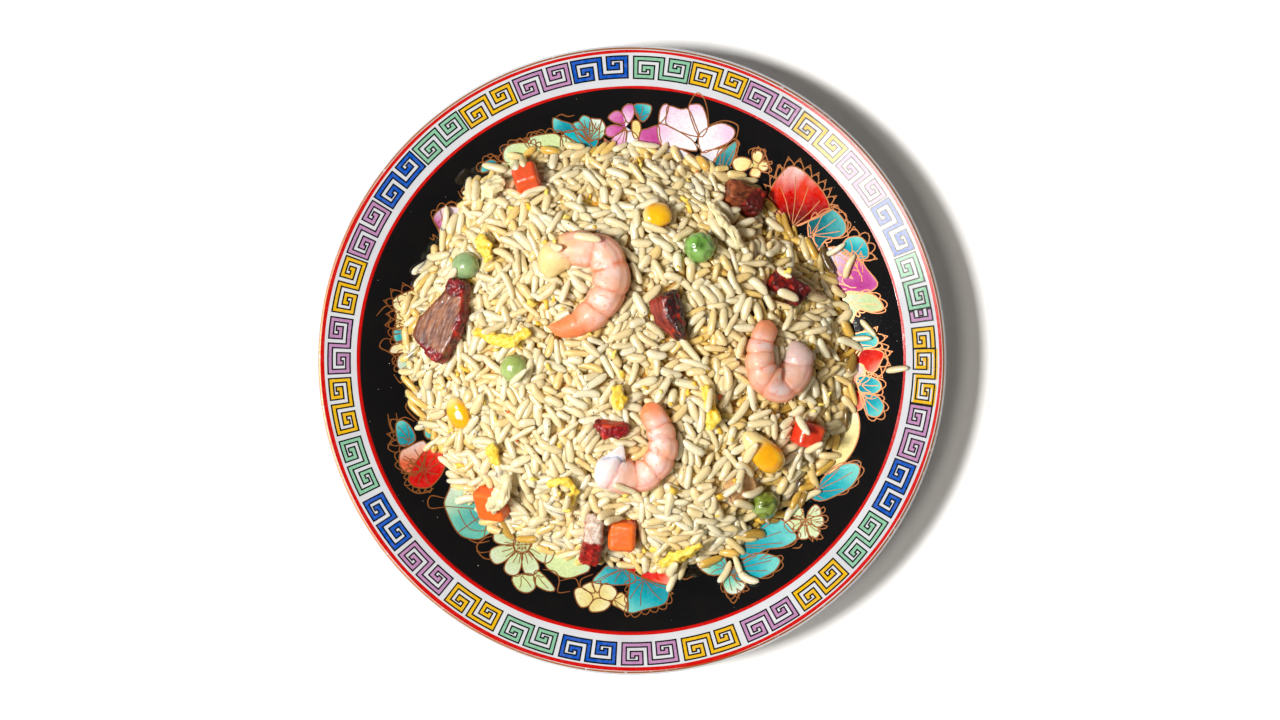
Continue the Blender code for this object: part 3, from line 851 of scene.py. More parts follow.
# Each petal or leaf: its enamel, its veins, whether gold loops run past its rim, then x and y in millimetres
# of its heart and of its outline.
PETALS = (
    ("turquoise", "none", 1, (-46, 63), (-49, 61.2), (-48.6, 63.8), (-46.5, 65.3), (-44.3, 65), (-44.2, 62.8)),
    ("lime", "none", 1, (-33, 66.5), (-41.9, 66), (-41.1, 69.2), (-38.3, 70.7), (-33.6, 70.9), (-30.6, 69.8),
     (-29.2, 67.7), (-29.8, 64.5), (-39, 63)),
    ("lime", "none", 1, (-27, 67), (-34, 71.1), (-32.8, 72.8), (-29.4, 73.6), (-25.2, 74), (-23.1, 72.8),
     (-22.5, 70.7), (-23.4, 66.6), (-29, 65)),
    ("lime", "none", 0, (-20, 67), (-23, 73.4), (-20, 72.4), (-16.6, 70.2), (-14.4, 67.4), (-17, 65), (-22.6, 66)),
    ("turquoise", "none", 0, (-21, 75.4), (-25.6, 78.8), (-22.7, 78), (-19.4, 77), (-18.4, 75.6), (-20.2, 74.4),
     (-22.7, 74.6), (-25.2, 74.6)),
    ("turquoise", "rays", 0, (-14.1, 71.7), (-19.4, 76.1), (-18.6, 77.5), (-16.6, 77.6), (-15.4, 75)),
    ("turquoise", "rays", 0, (-14.1, 71.7), (-16.9, 77.6), (-16.2, 79.5), (-14.8, 79.6), (-13.3, 78.5), (-13, 74.8)),
    ("sea", "rays", 0, (-14.1, 71.7), (-13.3, 78.6), (-11.8, 78.7), (-9.8, 78.3), (-11.2, 75.2)),
    ("sea", "rays", 0, (-14.1, 71.7), (-9.9, 78), (-8.6, 76.4), (-8.8, 74), (-10.7, 72.4)),
    ("turquoise", "none", 0, (-14.1, 72), (-18.4, 75.4), (-14.2, 71.6), (-11, 72.6), (-11.6, 70.2), (-14, 69.4),
     (-17.5, 72.6)),
    ("stem", "none", 0, (-18, 72.4), (-22.2, 73.9), (-19.8, 75), (-16.2, 73), (-12.6, 69.6), (-14.6, 68.2),
     (-17.8, 70.4)),
    ("magenta", "none", 0, (-1.9, 76.3), (-3.4, 77.2), (-5.6, 77.6), (-7.6, 79), (-6.6, 80.5), (-4.6, 81.3),
     (-2.7, 80.1), (-2, 77.8)),
    ("orchid", "none", 0, (-1.9, 76.3), (-2.7, 80), (-3.1, 81.7), (-1.6, 83.2), (0.6, 83), (0.8, 80.2), (-1, 77.4)),
    ("magenta", "none", 0, (-1.9, 76.3), (-3.4, 76.3), (-5.9, 76.9), (-8.2, 76), (-8.9, 74.5), (-7.2, 73),
     (-5, 73.6), (-2.7, 75.2)),
    ("orchid", "rays", 0, (-1.9, 76.3), (-2.6, 75), (-5.5, 73.4), (-6.6, 71.5), (-5.5, 69.2), (-3.6, 68.6),
     (-2.1, 70.7), (-1.5, 74.8)),
    ("snow", "none", 0, (-1.9, 76.3), (-1.3, 74.8), (-1.8, 71.1), (0, 69.2), (2.2, 71.4), (1.4, 74)),
    ("magenta", "none", 0, (-6.6, 70), (-8.9, 72.6), (-8.4, 69.9), (-8.6, 67.4), (-6.8, 66.2), (-5.4, 68.8)),
    ("yellow", "none", 0, (1.4, 75.4), (0.2, 77.8), (2, 78.2), (3, 76.4), (2.6, 73.4), (1.2, 72.4), (0.2, 74.4)),
    ("turquoise", "rays", 0, (2.6, 79), (0.7, 82.8), (2.6, 83.5), (6.4, 82.8), (5.7, 79.7), (3.6, 77.8), (1.6, 79.8)),
    ("lotus", "none", 0, (21.4, 70.5), (8.7, 77), (12, 76.5), (16.9, 73.9), (20.3, 71.4), (21.2, 68.5),
     (15, 69.6), (10.2, 70), (8.5, 73.6)),
    ("lotus", "none", 0, (12.2, 77), (9, 77.3), (9.2, 81.2), (10.5, 83.2), (12, 82.9), (11.4, 79.8)),
    ("lotus", "none", 0, (20.8, 71.4), (12, 76.4), (11.4, 79.8), (12, 82.8), (16, 81.7), (18.5, 81.7),
     (20.6, 77.3), (21.5, 73)),
    ("lotus", "none", 0, (21.6, 73.4), (18.5, 81.7), (20, 83.2), (23.1, 82.4), (24.9, 76.1), (22, 73)),
    ("lotus", "none", 0, (21.6, 70), (21.8, 73), (24.9, 75.9), (29.2, 77.2), (32.9, 75.7), (33.6, 73.6),
     (31.6, 71.1), (27.4, 69.3), (23.1, 68)),
    ("magenta", "none", 0, (9, 72), (2.6, 74.4), (5.3, 75.7), (8.7, 76.6), (9.2, 73.6), (9.6, 70.6), (6.5, 68.4),
     (3, 67.8)),
    ("snow", "none", 0, (19, 64.5), (6.5, 68.3), (10.8, 69.8), (15, 69.5), (18.8, 67.7), (21, 66), (18, 62), (10, 63)),
    ("snow", "none", 0, (24, 65), (22.6, 67.8), (29.2, 69.2), (31.2, 69.4), (27.4, 66.1), (25, 62.6)),
    ("teal", "rays", 1, (28.4, 60), (31, 69.5), (34.2, 71.3), (33.6, 66.9), (31.6, 62.6), (29.4, 58.4),
     (27.2, 55.6), (25.6, 60.1), (27.2, 65), (29.2, 68.3)),
    ("yellow", "none", 1, (40, 63.5), (33.4, 65.6), (36, 66.4), (39, 65.2), (38, 62.6), (34.7, 61.8), (33.2, 63.8)),
    ("yellow", "none", 1, (40, 63.5), (39.6, 65.6), (39.6, 67.6), (41.5, 68.3), (42.8, 66.9), (41.6, 64.4)),
    ("yellow", "none", 1, (40, 63.5), (41.5, 64), (43.4, 65.2), (44.7, 63.2), (43.4, 61.8), (41.5, 62.4)),
    ("yellow", "none", 0, (40, 63.5), (39.6, 62.8), (42.1, 62.2), (41.6, 59.9), (38.8, 60.6)),
    ("scarlet", "rays", 2, (52.5, 43.5), (44.6, 52), (46.4, 57.6), (51, 63), (55, 62.2), (58.6, 59),
     (62, 55.2), (64.4, 50.3), (62.9, 47.6), (58.5, 45.8), (53.7, 44), (48, 46.6)),
    ("teal", "rays", 1, (58.6, 41), (57.8, 45.2), (61.5, 47.4), (65.4, 49.2), (69.1, 45.6), (69.8, 42.3),
     (67.9, 40.3), (63.6, 39.4), (60.6, 35.6), (58.4, 38.6)),
    ("turquoise", "rays", 2, (72, 34), (68.4, 35.4), (69.8, 39.4), (73.9, 40.3), (76.5, 37.8), (77, 33.8),
     (74.7, 32.8), (71.5, 33.6)),
    ("violet", "scales", 2, (75, 24), (60.4, 32.4), (63.2, 36.4), (68.2, 36.8), (71.5, 34), (74.9, 32.2),
     (76.6, 29.7), (80, 25.3), (78.5, 22.8), (74.7, 21.8), (69, 22), (64.6, 25.4), (61.4, 28.6)),
    ("leaf", "rays", 1, (71, 19), (69.6, 21.9), (74.7, 22.2), (79.5, 20.9), (82, 16.8), (77.9, 15.8),
     (74.7, 16.6), (73.1, 15), (71.5, 11.6), (70, 14.4)),
    ("turquoise", "rays", 2, (71, 5.6), (68, 7.7), (71.5, 8.3), (77.1, 9.4), (80.2, 7.2), (79.6, 4.6), (75.5, 4),
     (72.3, 5)),
    ("crimson", "none", 0, (69.5, 2), (68.7, 5.2), (71, 5.9), (73.9, 5.8), (75.2, 4.5), (73.4, 2.4), (72.9, -0.5),
     (70.4, -0.6), (68.6, 1.6)),
    ("poppy", "none", 2, (75, 2.6), (73.9, 1.3), (75.5, 3.4), (77.8, 3.7), (80.9, 3.2), (82.2, 1.9), (81.2, -0.5),
     (79.9, -3.1), (78.3, -4.1), (76.5, -3.3), (75.5, -1.5), (73.4, -0.5)),
    ("peach", "none", 0, (67, -6.4), (66.4, -6.7), (69.5, -3.3), (73.1, -1), (75.7, -2), (76.3, -4.9), (74.2, -7.5),
     (72.9, -9.3), (69.5, -8.5)),
    ("turquoise", "rays", 1, (75, -8), (73.7, -5.6), (77.1, -5.2), (80.5, -6.6), (81.3, -9.1), (78.7, -11),
     (74.5, -10.1)),
    ("turquoise", "rays", 1, (76, -12.4), (74.9, -10.7), (79.5, -11.3), (82.1, -14.7), (80.5, -18.2),
     (77.1, -17.8), (75.3, -13.9)),
    ("poppy", "none", 0, (71, -12), (70.2, -9.7), (73.9, -10.1), (76.1, -13.9), (73.9, -16.4), (70.6, -14.2)),
    ("cream", "none", 0, (68.6, -28), (72.6, -15.8), (74, -18), (74.4, -22), (73.6, -26.4), (71.2, -31.2),
     (67.6, -35), (63.4, -37.4), (59.4, -35.6), (63.7, -32.2), (67.2, -27.6), (69.6, -22), (70.9, -18)),
    ("teal", "rays", 0, (61, -28), (60.4, -28.8), (61.6, -25.3), (65.4, -23.8), (68.2, -24.3), (66.8, -28.2)),
    ("turquoise", "rays", 1, (59.6, -43), (60.2, -42), (62, -39.2), (65.6, -35.6), (71.3, -33.5), (74.4, -35.1),
     (72.2, -40.3), (67, -43.9), (61.4, -46), (58, -44)),
    ("blossom", "rays", 1, (56.7, -52.2), (57.4, -50.4), (59.8, -47.2), (61.6, -48.6), (61.2, -50.8)),
    ("blossom", "rays", 1, (56.7, -52.2), (58.6, -51.6), (62, -50.8), (62.4, -53.6), (59.6, -54.2)),
    ("blossom", "rays", 1, (56.7, -52.2), (58, -53.4), (61.4, -55.4), (59.6, -58), (57, -55.6)),
    ("blossom", "rays", 0, (56.7, -52.2), (57, -54), (57.6, -57.8), (54.4, -58), (55, -54.6)),
    ("blossom", "rays", 0, (56.7, -52.2), (55.4, -53.4), (52.4, -56.4), (49.8, -53.4), (54, -51.8)),
    ("blossom", "rays", 0, (56.7, -52.2), (55.2, -51), (51, -50.6), (52.6, -47.8), (56, -48.8)),
    ("turquoise", "rays", 1, (32.5, -61), (32.4, -57), (39.3, -56.2), (44.3, -52.7), (49.2, -52.3), (52.2, -55),
     (53.8, -58.2), (49.2, -61), (44.3, -61.6), (40, -63.8), (34.3, -65), (32.4, -63)),
    ("turquoise", "rays", 1, (31.5, -68.5), (36.4, -65.5), (40.7, -63), (46.4, -63.7), (48.4, -65.3),
     (46.6, -68.5), (42.1, -70.9), (37.2, -72.3), (33.6, -70.9)),
    ("sea", "rays", 1, (31.6, -69), (29.8, -70.7), (33.6, -70.3), (37.2, -72.3), (35.7, -75.2), (32.9, -76.2),
     (30.5, -75)),
    ("sea", "rays", 0, (31, -67.6), (21, -66), (25.6, -64), (30.6, -64.6), (30.2, -69.4), (25, -70)),
    ("crimson", "none", 0, (-1, -61), (-5.8, -61.9), (2, -58), (4.2, -61.4), (3.5, -65), (0.6, -69.7),
     (-3.2, -67.2), (-5.4, -64.5)),
    ("poppy", "none", 0, (6.6, -66), (9, -63), (7, -64.6), (3.3, -70.1), (4.6, -71.4), (11.7, -73.4), (12.4, -69)),
    ("turquoise", "rays", 0, (-3, -68.4), (-12.8, -72.4), (-9.8, -68.8), (-7.3, -67.3), (-0.2, -69.1),
     (1, -72.6), (-4.7, -73.5), (-8.3, -73.2)),
    ("turquoise", "rays", 1, (4, -71.6), (-0.4, -69.3), (4.9, -71.9), (11.7, -73.6), (12.2, -76.1),
     (10.7, -79.4), (4.9, -81), (-1, -82.2), (-1.2, -77.2), (-0.6, -73.1)),
    ("yellow", "none", 0, (-11.6, -76.9), (-13.4, -76.1), (-16.4, -74.2), (-18.6, -75.1), (-18.1, -78.2),
     (-16.4, -80.4), (-13.9, -79.9), (-12.6, -77.9)),
    ("yellow", "none", 0, (-11.6, -76.9), (-13.2, -75.9), (-16.2, -74.2), (-14.4, -72.9), (-12.9, -72.8), (-12, -75.6)),
    ("yellow", "none", 0, (-11.6, -76.9), (-11.6, -75.6), (-13, -72.9), (-10.6, -72.2), (-10, -73.2), (-10.8, -75.6)),
    ("yellow", "none", 0, (-11.6, -76.9), (-10.2, -77.3), (-10.3, -74.4), (-8.3, -72.9), (-5.4, -74.6),
     (-4.9, -76.7), (-6.8, -78.4)),
    ("yellow", "none", 0, (-11.6, -76.9), (-12.4, -78.2), (-13.9, -80.3), (-12.9, -81.9), (-8.8, -81.4),
     (-6.8, -79), (-10.3, -77.6)),
    ("yellow", "rays", 0, (-5.8, -78), (-5.2, -77), (-3.2, -75.9), (-1.2, -78.4), (-1.4, -81.9), (-4.2, -80.6),
     (-6.3, -79.4)),
    ("lime", "none", 0, (-22, -66), (-28.4, -66.3), (-26, -61.6), (-17.5, -62), (-13.6, -68), (-17, -70.2),
     (-21.5, -71.2), (-26, -69.2)),
    ("lime", "rays", 0, (-36, -70), (-38.8, -70.5), (-37.5, -74.2), (-34.2, -75.7), (-31.4, -74), (-32.5, -69.8)),
    ("lime", "rays", 0, (-31, -70), (-31.8, -69.3), (-29.8, -69.2), (-25, -74.5), (-27.5, -75.2), (-31.4, -73)),
    ("sea", "segments", 0, (-46.6, -49), (-42.2, -51), (-41.6, -55.2), (-46, -56.3), (-49.6, -58.4), (-54.6, -57.7),
     (-57.6, -55), (-60.1, -50), (-61.2, -46.5), (-59.8, -42.7), (-57.4, -37), (-53, -35.4), (-47, -37)),
    ("peach", "rays", 1, (-67.8, -36.1), (-75.4, -30.1), (-73.2, -28.5), (-68.1, -26.3), (-67, -30),
     (-69.4, -36.4), (-71.9, -37.4), (-75.4, -34.4)),
    ("poppy", "rays", 1, (-67.8, -36.1), (-68.1, -29.9), (-63.1, -27.7), (-61.1, -29.4), (-60.8, -33.4),
     (-62.2, -37.4), (-65, -40.8), (-67.4, -41.7), (-71, -41), (-72.6, -37.9)),
    ("turquoise", "rays", 2, (-72.4, -26.4), (-76.9, -20.8), (-74.5, -19.6), (-71.8, -22.2), (-70.6, -26),
     (-73.8, -28.1), (-76.1, -26.7)),
    ("turquoise", "rays", 0, (-62, -23), (-67.2, -21.8), (-59.4, -21), (-59, -22.9), (-61, -25), (-66.9, -25.6)),
    ("magenta", "none", 1, (-62, -11.6), (-71.2, -9.6), (-61, -9), (-60, -12.3), (-67.4, -13.2), (-70.1, -14.6)),
    ("sea", "rays", 1, (-69.4, -0.6), (-76.1, 1.3), (-72.2, 2.8), (-68, 2), (-68, -2.4), (-75.8, -3)),
    ("cream", "none", 0, (-72, 4.6), (-78.8, 2.4), (-77.6, 5.2), (-73.5, 7.2), (-69.5, 7.9), (-69, 4.6), (-74.2, 2.6)),
    ("turquoise", "none", 1, (-73, 8.4), (-77.8, 9.4), (-74.9, 10.8), (-70.8, 9.4), (-71, 7.8), (-73.4, 6.8), (-76.8, 5.8)),
    ("yellow", "scales", 2, (-69, 14), (-77.8, 19.6), (-72.9, 22.5), (-68.6, 22.9), (-67, 18.9), (-69, 11),
     (-75.6, 9.9), (-77.1, 10.7), (-76.8, 14.8)),
    ("violet", "segments", 1, (-60, 38.6), (-64.6, 46.8), (-61, 50.1), (-55.7, 49.7), (-54, 48), (-55.5, 43.6),
     (-57.5, 39.4), (-59.3, 36.7), (-61.2, 38.4), (-63.5, 43.4)),
    ("sea", "none", 1, (-52, 53), (-54.4, 54.4), (-52.6, 55.4), (-51, 54), (-51.6, 51.8)),
)

# Whole open flowers: enamel, x and y of the middle, number of petals, their reach and the button's, in millimetres.
OPEN_FLOWERS = (("blossom", -35.9, -60.4, 8, 10.2, 2.9),)

# Gold strokes on the black ground: x and y in millimetres along each.
STROKES = (
    ((18.3, 81.6), (19.2, 84.2), (21.2, 86.7), (23.3, 85.3), (24.6, 81.6), (25.2, 76.6)),
    ((25.2, 76.6), (29.2, 77.9), (32.3, 77.6), (34.6, 76.2), (34.4, 73.4), (33.6, 71.5)),
    ((34.6, 71.9), (35.2, 70.4), (34, 69), (34.6, 66.4)),
    ((38.2, 67.3), (38.5, 68.7), (40.9, 69.2), (43, 68.3), (44.2, 65.6), (45.1, 63.2), (44.7, 60.6)),
    ((46.4, 59.2), (48.2, 63.8), (49.6, 60.2)),
    ((44.4, 52.2), (46.4, 51.2), (48.4, 48.4)),
    ((64.8, 50.4), (68.6, 48.4), (70.4, 44.8), (70.1, 41.6)),
    ((61, 44), (59.6, 39.6), (62.2, 33.6)),
    ((67.6, 16.2), (68.6, 14.2), (70.2, 12.6), (71, 10)),
    ((81, 5.6), (83.6, 4.6), (82.6, 2.6), (83.4, -0.2), (81.6, -4.4), (79.4, -5.4)),
    ((72.4, -17), (70, -19.4), (68.8, -23), (66.8, -28), (64.8, -30.6), (62, -32.4)),
    ((69.6, -19.4), (67.8, -20.2), (68.8, -21.4), (67, -22), (68, -23.4)),
    ((52.4, -61.2), (54.6, -61), (55.6, -59.8)),
    ((30.2, -74.8), (31.4, -77), (33.1, -78.9), (34.6, -77), (35.9, -75)),
    ((20, -70.6), (17.6, -71.6), (15.4, -71), (13.4, -72.6)),
    ((-29, -68.3), (-25, -69.1), (-23.6, -72), (-24, -75.6), (-20, -75.4)),
    ((-23.4, -72), (-18.5, -71.3), (-17, -74), (-16.4, -71.6), (-12.6, -70)),
    ((-45.6, -57.4), (-48, -58.2), (-50.4, -60.4), (-49.6, -62.6), (-46, -62.4)),
    ((-45.4, -65), (-48.2, -64.4), (-50.6, -62)),
    ((-53, -58.6), (-50, -59.6), (-46.4, -59)),
    ((-61.2, -47.9), (-65.3, -48.2), (-66.4, -46.4), (-65.3, -44.2), (-61.2, -45)),
    ((-73.4, -41), (-70.6, -43), (-67.6, -43.2), (-64.6, -41.8)),
    ((-76.4, -30.4), (-79.2, -28.4), (-77, -24)),
    ((-79.4, -17.4), (-78.8, -21), (-77.4, -24.6)),
    ((-76.8, -17.2), (-76.2, -19.4), (-74, -18.6), (-71, -20)),
    ((-73.2, -8.4), (-72.4, -12.4), (-73.8, -15.4), (-70.4, -19.4), (-67, -21)),
    ((-77.6, -4.6), (-75.4, -7.4), (-74, -5), (-73.4, -9)),
    ((-78, -1.4), (-77, 0.8), (-79, 2.6), (-82, 4.4), (-80.6, 7), (-77.6, 6.6)),
    ((-83, 14.4), (-80.4, 17.4), (-78, 17.8)),
    ((-80.6, 11.4), (-78.6, 13.4), (-79.2, 15.4), (-77, 16.2)),
    ((-66, 40), (-64.6, 39.4), (-64.8, 41), (-63.2, 39.8)),
    ((-61, 50.4), (-58.6, 51.6), (-55.4, 50.6)),
    ((-56.6, 55.2), (-55.4, 53.2), (-52.6, 53.2), (-52, 55.6)),
    ((-47.6, 66.4), (-45.6, 67.2), (-43.2, 65.2), (-40, 64.6)),
    ((-38.6, 71.6), (-36.4, 72), (-34.2, 71.2), (-32.4, 74), (-31, 74.6), (-28.8, 73.9)),
    ((-24.6, 79.2), (-22.8, 80), (-20.8, 79.4), (-18.6, 79.8)),
)


def smooth_ring(corners, between=3):
    """A closed outline rounded through its corners."""
    count = len(corners)
    found = []
    for i in range(count):
        a, b, c, d = (Vector(corners[(i + k) % count]) for k in (-1, 0, 1, 2))
        for k in range(between):
            t = k / between
            bend = (2 * a - 5 * b + 4 * c - d) * t * t + (3 * b - a - 3 * c + d) * t**3
            found.append(b + ((c - a) * t + bend) / 2)
    return found


def enamel_at(enamel, share):
    stops = ENAMELS[enamel]
    place = min(max(share, 0), 0.999) * (len(stops) - 1)
    return mix(stops[int(place)], stops[int(place) + 1], place % 1)


class Rim:
    """A petal's outline seen from its heart: how far it is in each direction."""

    def __init__(self, heart, ring):
        self.heart = heart
        furthest = max(ring, key=lambda spot: (spot - heart).length)
        self.way = (furthest - heart).normalized()
        self.reach = (furthest - heart).length
        seen = sorted((self.turn_to(spot), (spot - heart).length) for spot in ring)
        self.turns, self.reaches = zip(*seen)
        wide = [turn for turn, reach in seen if reach > 0.42 * self.reach]
        self.first, self.last = min(wide), max(wide)

    def turn_to(self, spot):
        """Angle from the direction of the furthest spot, from minus half a turn to half a turn."""
        local = spot - self.heart
        return math.atan2(self.way.cross(local), self.way.dot(local))

    def at(self, turn, share, beyond=0.0):
        """A place in this direction: a share of the way to the rim, and a length beyond it."""
        reach = float(np.interp(turn, self.turns, self.reaches)) * share + beyond
        angle = math.atan2(self.way.y, self.way.x) + turn
        return self.heart + Vector((math.cos(angle), math.sin(angle))) * reach

    def arches(self, share, rise, wide, shift=0.0):
        """Rows of pointed arches side by side across the petal, each a few places long."""
        count = max(1, round(self.reach * share * (self.last - self.first) / wide))
        step = (self.last - self.first) / count
        for k in range(count):
            start = self.first + step * (k + shift)
            if start + step > self.last + 1e-6:
                continue
            heights = ((0.0, 0.0), (0.08, 0.45), (0.28, 0.85), (0.5, 1.0), (0.72, 0.85), (0.92, 0.45), (1.0, 0.0))
            yield [self.at(start + step * along, share, rise * up) for along, up in heights]


def paint_veins(lines, kind, rim, ring, width, gold):
    """Veins of one petal or leaf, drawn from its heart towards its rim."""
    heart, count = rim.heart, len(ring)
    if kind in ("rays", "stamens"):
        reach = 0.84 if kind == "rays" else 0.62
        for i in range(0, count, 4):
            bend = (ring[(i + 2) % count] - ring[i]) * 0.12
            start = heart.lerp(ring[i], 0.06 if kind == "rays" else 0.3)
            middle = heart.lerp(ring[i], reach * 0.6) + bend
            lines.line([start, middle, heart.lerp(ring[i], reach)], width * 0.7, gold)
    if kind == "scales":
        for row, share in enumerate((0.22, 0.42, 0.61, 0.79)):
            for arch in rim.arches(share, rim.reach * 0.2, 3.2 * MM, 0.5 * (row % 2)):
                lines.line(arch, width * 0.75, gold)
    if kind == "mesh":
        for k in range(1, 4):
            for way in (0, 1):
                path = [heart + (ring[0] - heart).length * Vector((s, k / 2 - 1) if way else (k / 2 - 1, s)) * 0.9
                        for s in (-0.55, 0, 0.55)]
                lines.line(path, width * 0.6, gold)
    if kind == "segments":
        for share in (0.45, 0.72):
            lines.line([heart.lerp(spot, share) for spot in ring[: count // 2 + 2]], width * 0.7, gold)
        for i in range(2, count, 6):
            lines.line([heart.lerp(ring[i], 0.15), ring[i]], width * 0.75, gold)


def paint_petal(fill, lines, petal, number, plate):
    """One petal or leaf: enamel that changes from its heart to its far end, an outline and veins."""
    enamel, veins, loops, heart, *corners = petal
    heart = Vector(heart) * MM
    ring = [spot * MM for spot in smooth_ring(corners)]
    rim = Rim(heart, ring)
    width, gold = plate.line_width, tuple(plate.gold)
    rows, colours = [], [ENAMELS[enamel][0]]
    for share in (0.2, 0.4, 0.6, 0.8, 1.0):
        row = [heart.lerp(spot, share) for spot in ring]
        along = [max((spot - heart).dot(rim.way) / rim.reach, 0.35 * share) for spot in row]
        drift = [0.25 * noise.noise(Vector((spot.x, spot.y, number * MM)) / (3 * MM)) for spot in row]
        rows.append([tuple(spot) for spot in row])
        colours.append([enamel_at(enamel, a * (1 + d)) for a, d in zip(along, drift)])
    fill.disc(heart, rows, colours)
    lines.line(ring, width, gold, closed=True)
    paint_veins(lines, veins, rim, ring, width, gold)
    if loops:
        for arch in rim.arches(1.0, (0.9 + 0.7 * loops) * MM, 3.4 * MM):
            tip = arch[3]
            if heart.length + 1 * MM < tip.length < LIP_RADIUS - 0.8 * MM:
                lines.line(arch, width * 0.9, gold)
            if loops == 2 and heart.length + 2 * MM < tip.length < LIP_RADIUS - 2 * MM:
                lines.line([arch[1], arch[3] + (arch[3] - heart).normalized() * 0.9 * MM, arch[5]], width * 0.7, gold)


def open_flower(enamel, x, y, count, reach, button):
    """Petals side by side round a button, as entries like those of the table of petals."""
    arch = ((0.02, 0.3), (0.04, 0.7), (0.2, 0.96), (0.5, 1.03), (0.8, 0.96), (0.96, 0.7), (0.98, 0.3))
    made = []
    for k in range(count):
        size = reach * (1 + 0.06 * math.sin(3.7 * k))
        turns = [(math.tau * (k + along) / count, size * share) for along, share in arch]
        made.append((enamel, "stamens", 0, (x, y), *((x + r * math.cos(a), y + r * math.sin(a)) for a, r in turns)))
    ring = [(x + button * math.cos(math.tau * k / 8), y + button * math.sin(math.tau * k / 8)) for k in range(8)]
    return made + [("cream", "mesh", 0, (x, y), *ring)]


def paint_flowers(fill, lines, plate):
    """The wreath round the well, with gold strokes that run out over the black ground."""
    entries = list(PETALS)
    for flower in OPEN_FLOWERS:
        entries += open_flower(*flower)
    for number, petal in enumerate(entries):
        fill.lift = PAINT_LIFT + 0.012 * MM * (number % 5)
        paint_petal(fill, lines, petal, number, plate)
    gold = tuple(plate.gold)
    for stroke in STROKES:
        path = [Vector(p) * MM for p in through(stroke, len(stroke) * 4)]
        lines.line(path, plate.line_width * 1.1, gold, taper=True)


class FRIEDRICE_OT_plate(bpy.types.Operator):
    """Turn the glazed plate with its coloured bands and unglazed foot"""

    bl_idname = "friedrice.plate"
    bl_label = "Porcelain plate"

    def execute(self, context):
        plate = context.scene.friedrice_plate
        white = tuple(plate.glaze)
        finishes = {
            "ground": ground_material(tuple(plate.ground)),
            "red": glaze_material("red_line", tuple(plate.line_red), mix(plate.line_red, (0.3, 0, 0), 0.5), 0.1),
            "glaze": glaze_material("white_glaze", white, mix(white, tone(0.72, 0.72, 0.75), 0.6)),
            "gold": gold_material("gold_line", tuple(plate.gold), white, 0.6, 0.35),
            "biscuit": glaze_material("bare_foot", tone(0.82, 0.79, 0.74), tone(0.62, 0.57, 0.52), 0.5),
        }
        mesh = turned_mesh("porcelain_plate", plate_profile(), 288, finishes)
        made = bpy.data.objects.new("porcelain_plate", mesh)
        context.scene.collection.objects.link(made)
        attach(made, "root")
        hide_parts("plate")
        return {"FINISHED"}


class FRIEDRICE_OT_border(bpy.types.Operator):
    """Paint the key border and its red lines"""

    bl_idname = "friedrice.border"
    bl_label = "Key border"

    def execute(self, context):
        plate = context.scene.friedrice_plate
        fill, outline = paint_key_border(plate)
        enamel = enamel_material("key_enamel", 0.06, 0.02 * MM, 0.08)
        piece("key_fill", fill.mesh("key_fill"), enamel, "porcelain")
        ink = enamel_material("key_ink", 0.07, 0.01 * MM, 0.02)
        piece("key_outline", outline.mesh("key_outline"), ink, "porcelain")
        red = enamel_material("line_enamel", 0.1, 0.02 * MM, 0.02)
        piece("red_rings", paint_rings(plate).mesh("red_rings"), red, "porcelain")
        return {"FINISHED"}


class FRIEDRICE_OT_flowers(bpy.types.Operator):
    """Paint the wreath of flowers and leaves round the well"""

    bl_idname = "friedrice.flowers"
    bl_label = "Painted flowers"

    def execute(self, context):
        plate = context.scene.friedrice_plate
        fill, lines = Painter(PAINT_LIFT), Painter(LINE_LIFT + 0.05 * MM)
        paint_flowers(fill, lines, plate)
        enamel = enamel_material("flower_enamel", 0.05, 0.008 * MM, 0.05, 0.02)
        piece("painted_flowers", fill.mesh("painted_flowers"), enamel, "porcelain")
        gold = gold_material("gold_outline", tuple(plate.gold), tone(0.30, 0.17, 0.10), 0.66, 0.45)
        piece("gold_outlines", lines.mesh("gold_outlines"), gold, "porcelain")
        return {"FINISHED"}


# ---------------------------------------------------------------- shrimps

# Each shrimp's line as x, y and half thickness in millimetres, head end first.
SHRIMP_LINES = {
    "shrimp_1": (
        (-27.2, 26.4, 5.4), (-23.8, 33.0, 5.7), (-16.2, 35.6, 5.9), (-8.8, 33.4, 6.0), (-6.4, 25.8, 6.2),
        (-9.4, 18.2, 5.6), (-15.0, 12.8, 4.6), (-21.0, 10.2, 3.2), (-26.6, 10.7, 1.3),
    ),
    "shrimp_2": (
        (52.4, 6.2, 4.7), (53.6, -1.6, 5.3), (48.6, -8.0, 5.6), (42.2, -4.6, 5.2),
        (41.0, 2.6, 4.5), (42.6, 8.4, 3.9), (44.8, 12.6, 3.0),
    ),
    "shrimp_3": (
        (-10.6, -32.0, 6.0), (-6.0, -35.4, 6.5), (0.6, -37.4, 5.4), (6.2, -35.2, 5.0),
        (9.8, -29.2, 5.0), (9.4, -23.2, 4.7), (7.4, -18.6, 4.2), (4.8, -13.6, 3.4),
    ),
}
# Colours of the head end, of the flesh where it is palest, and of the tail; and how far the tail's colour comes. The
# palest flesh is painted on the upper side as painted light.
SHRIMP_SKINS = {
    "shrimp_1": (tone(0.94, 0.84, 0.58), tone(0.95, 0.86, 0.83), tone(0.94, 0.52, 0.30), 0.74),
    "shrimp_2": (tone(0.82, 0.72, 0.70), tone(0.88, 0.80, 0.80), tone(0.92, 0.58, 0.40), 0.84),
    "shrimp_3": (tone(0.95, 0.90, 0.91), tone(0.95, 0.86, 0.86), tone(0.94, 0.56, 0.36), 0.87),
}
SHRIMP_JOINTS = (0.17, 0.31, 0.44, 0.56, 0.67, 0.78)


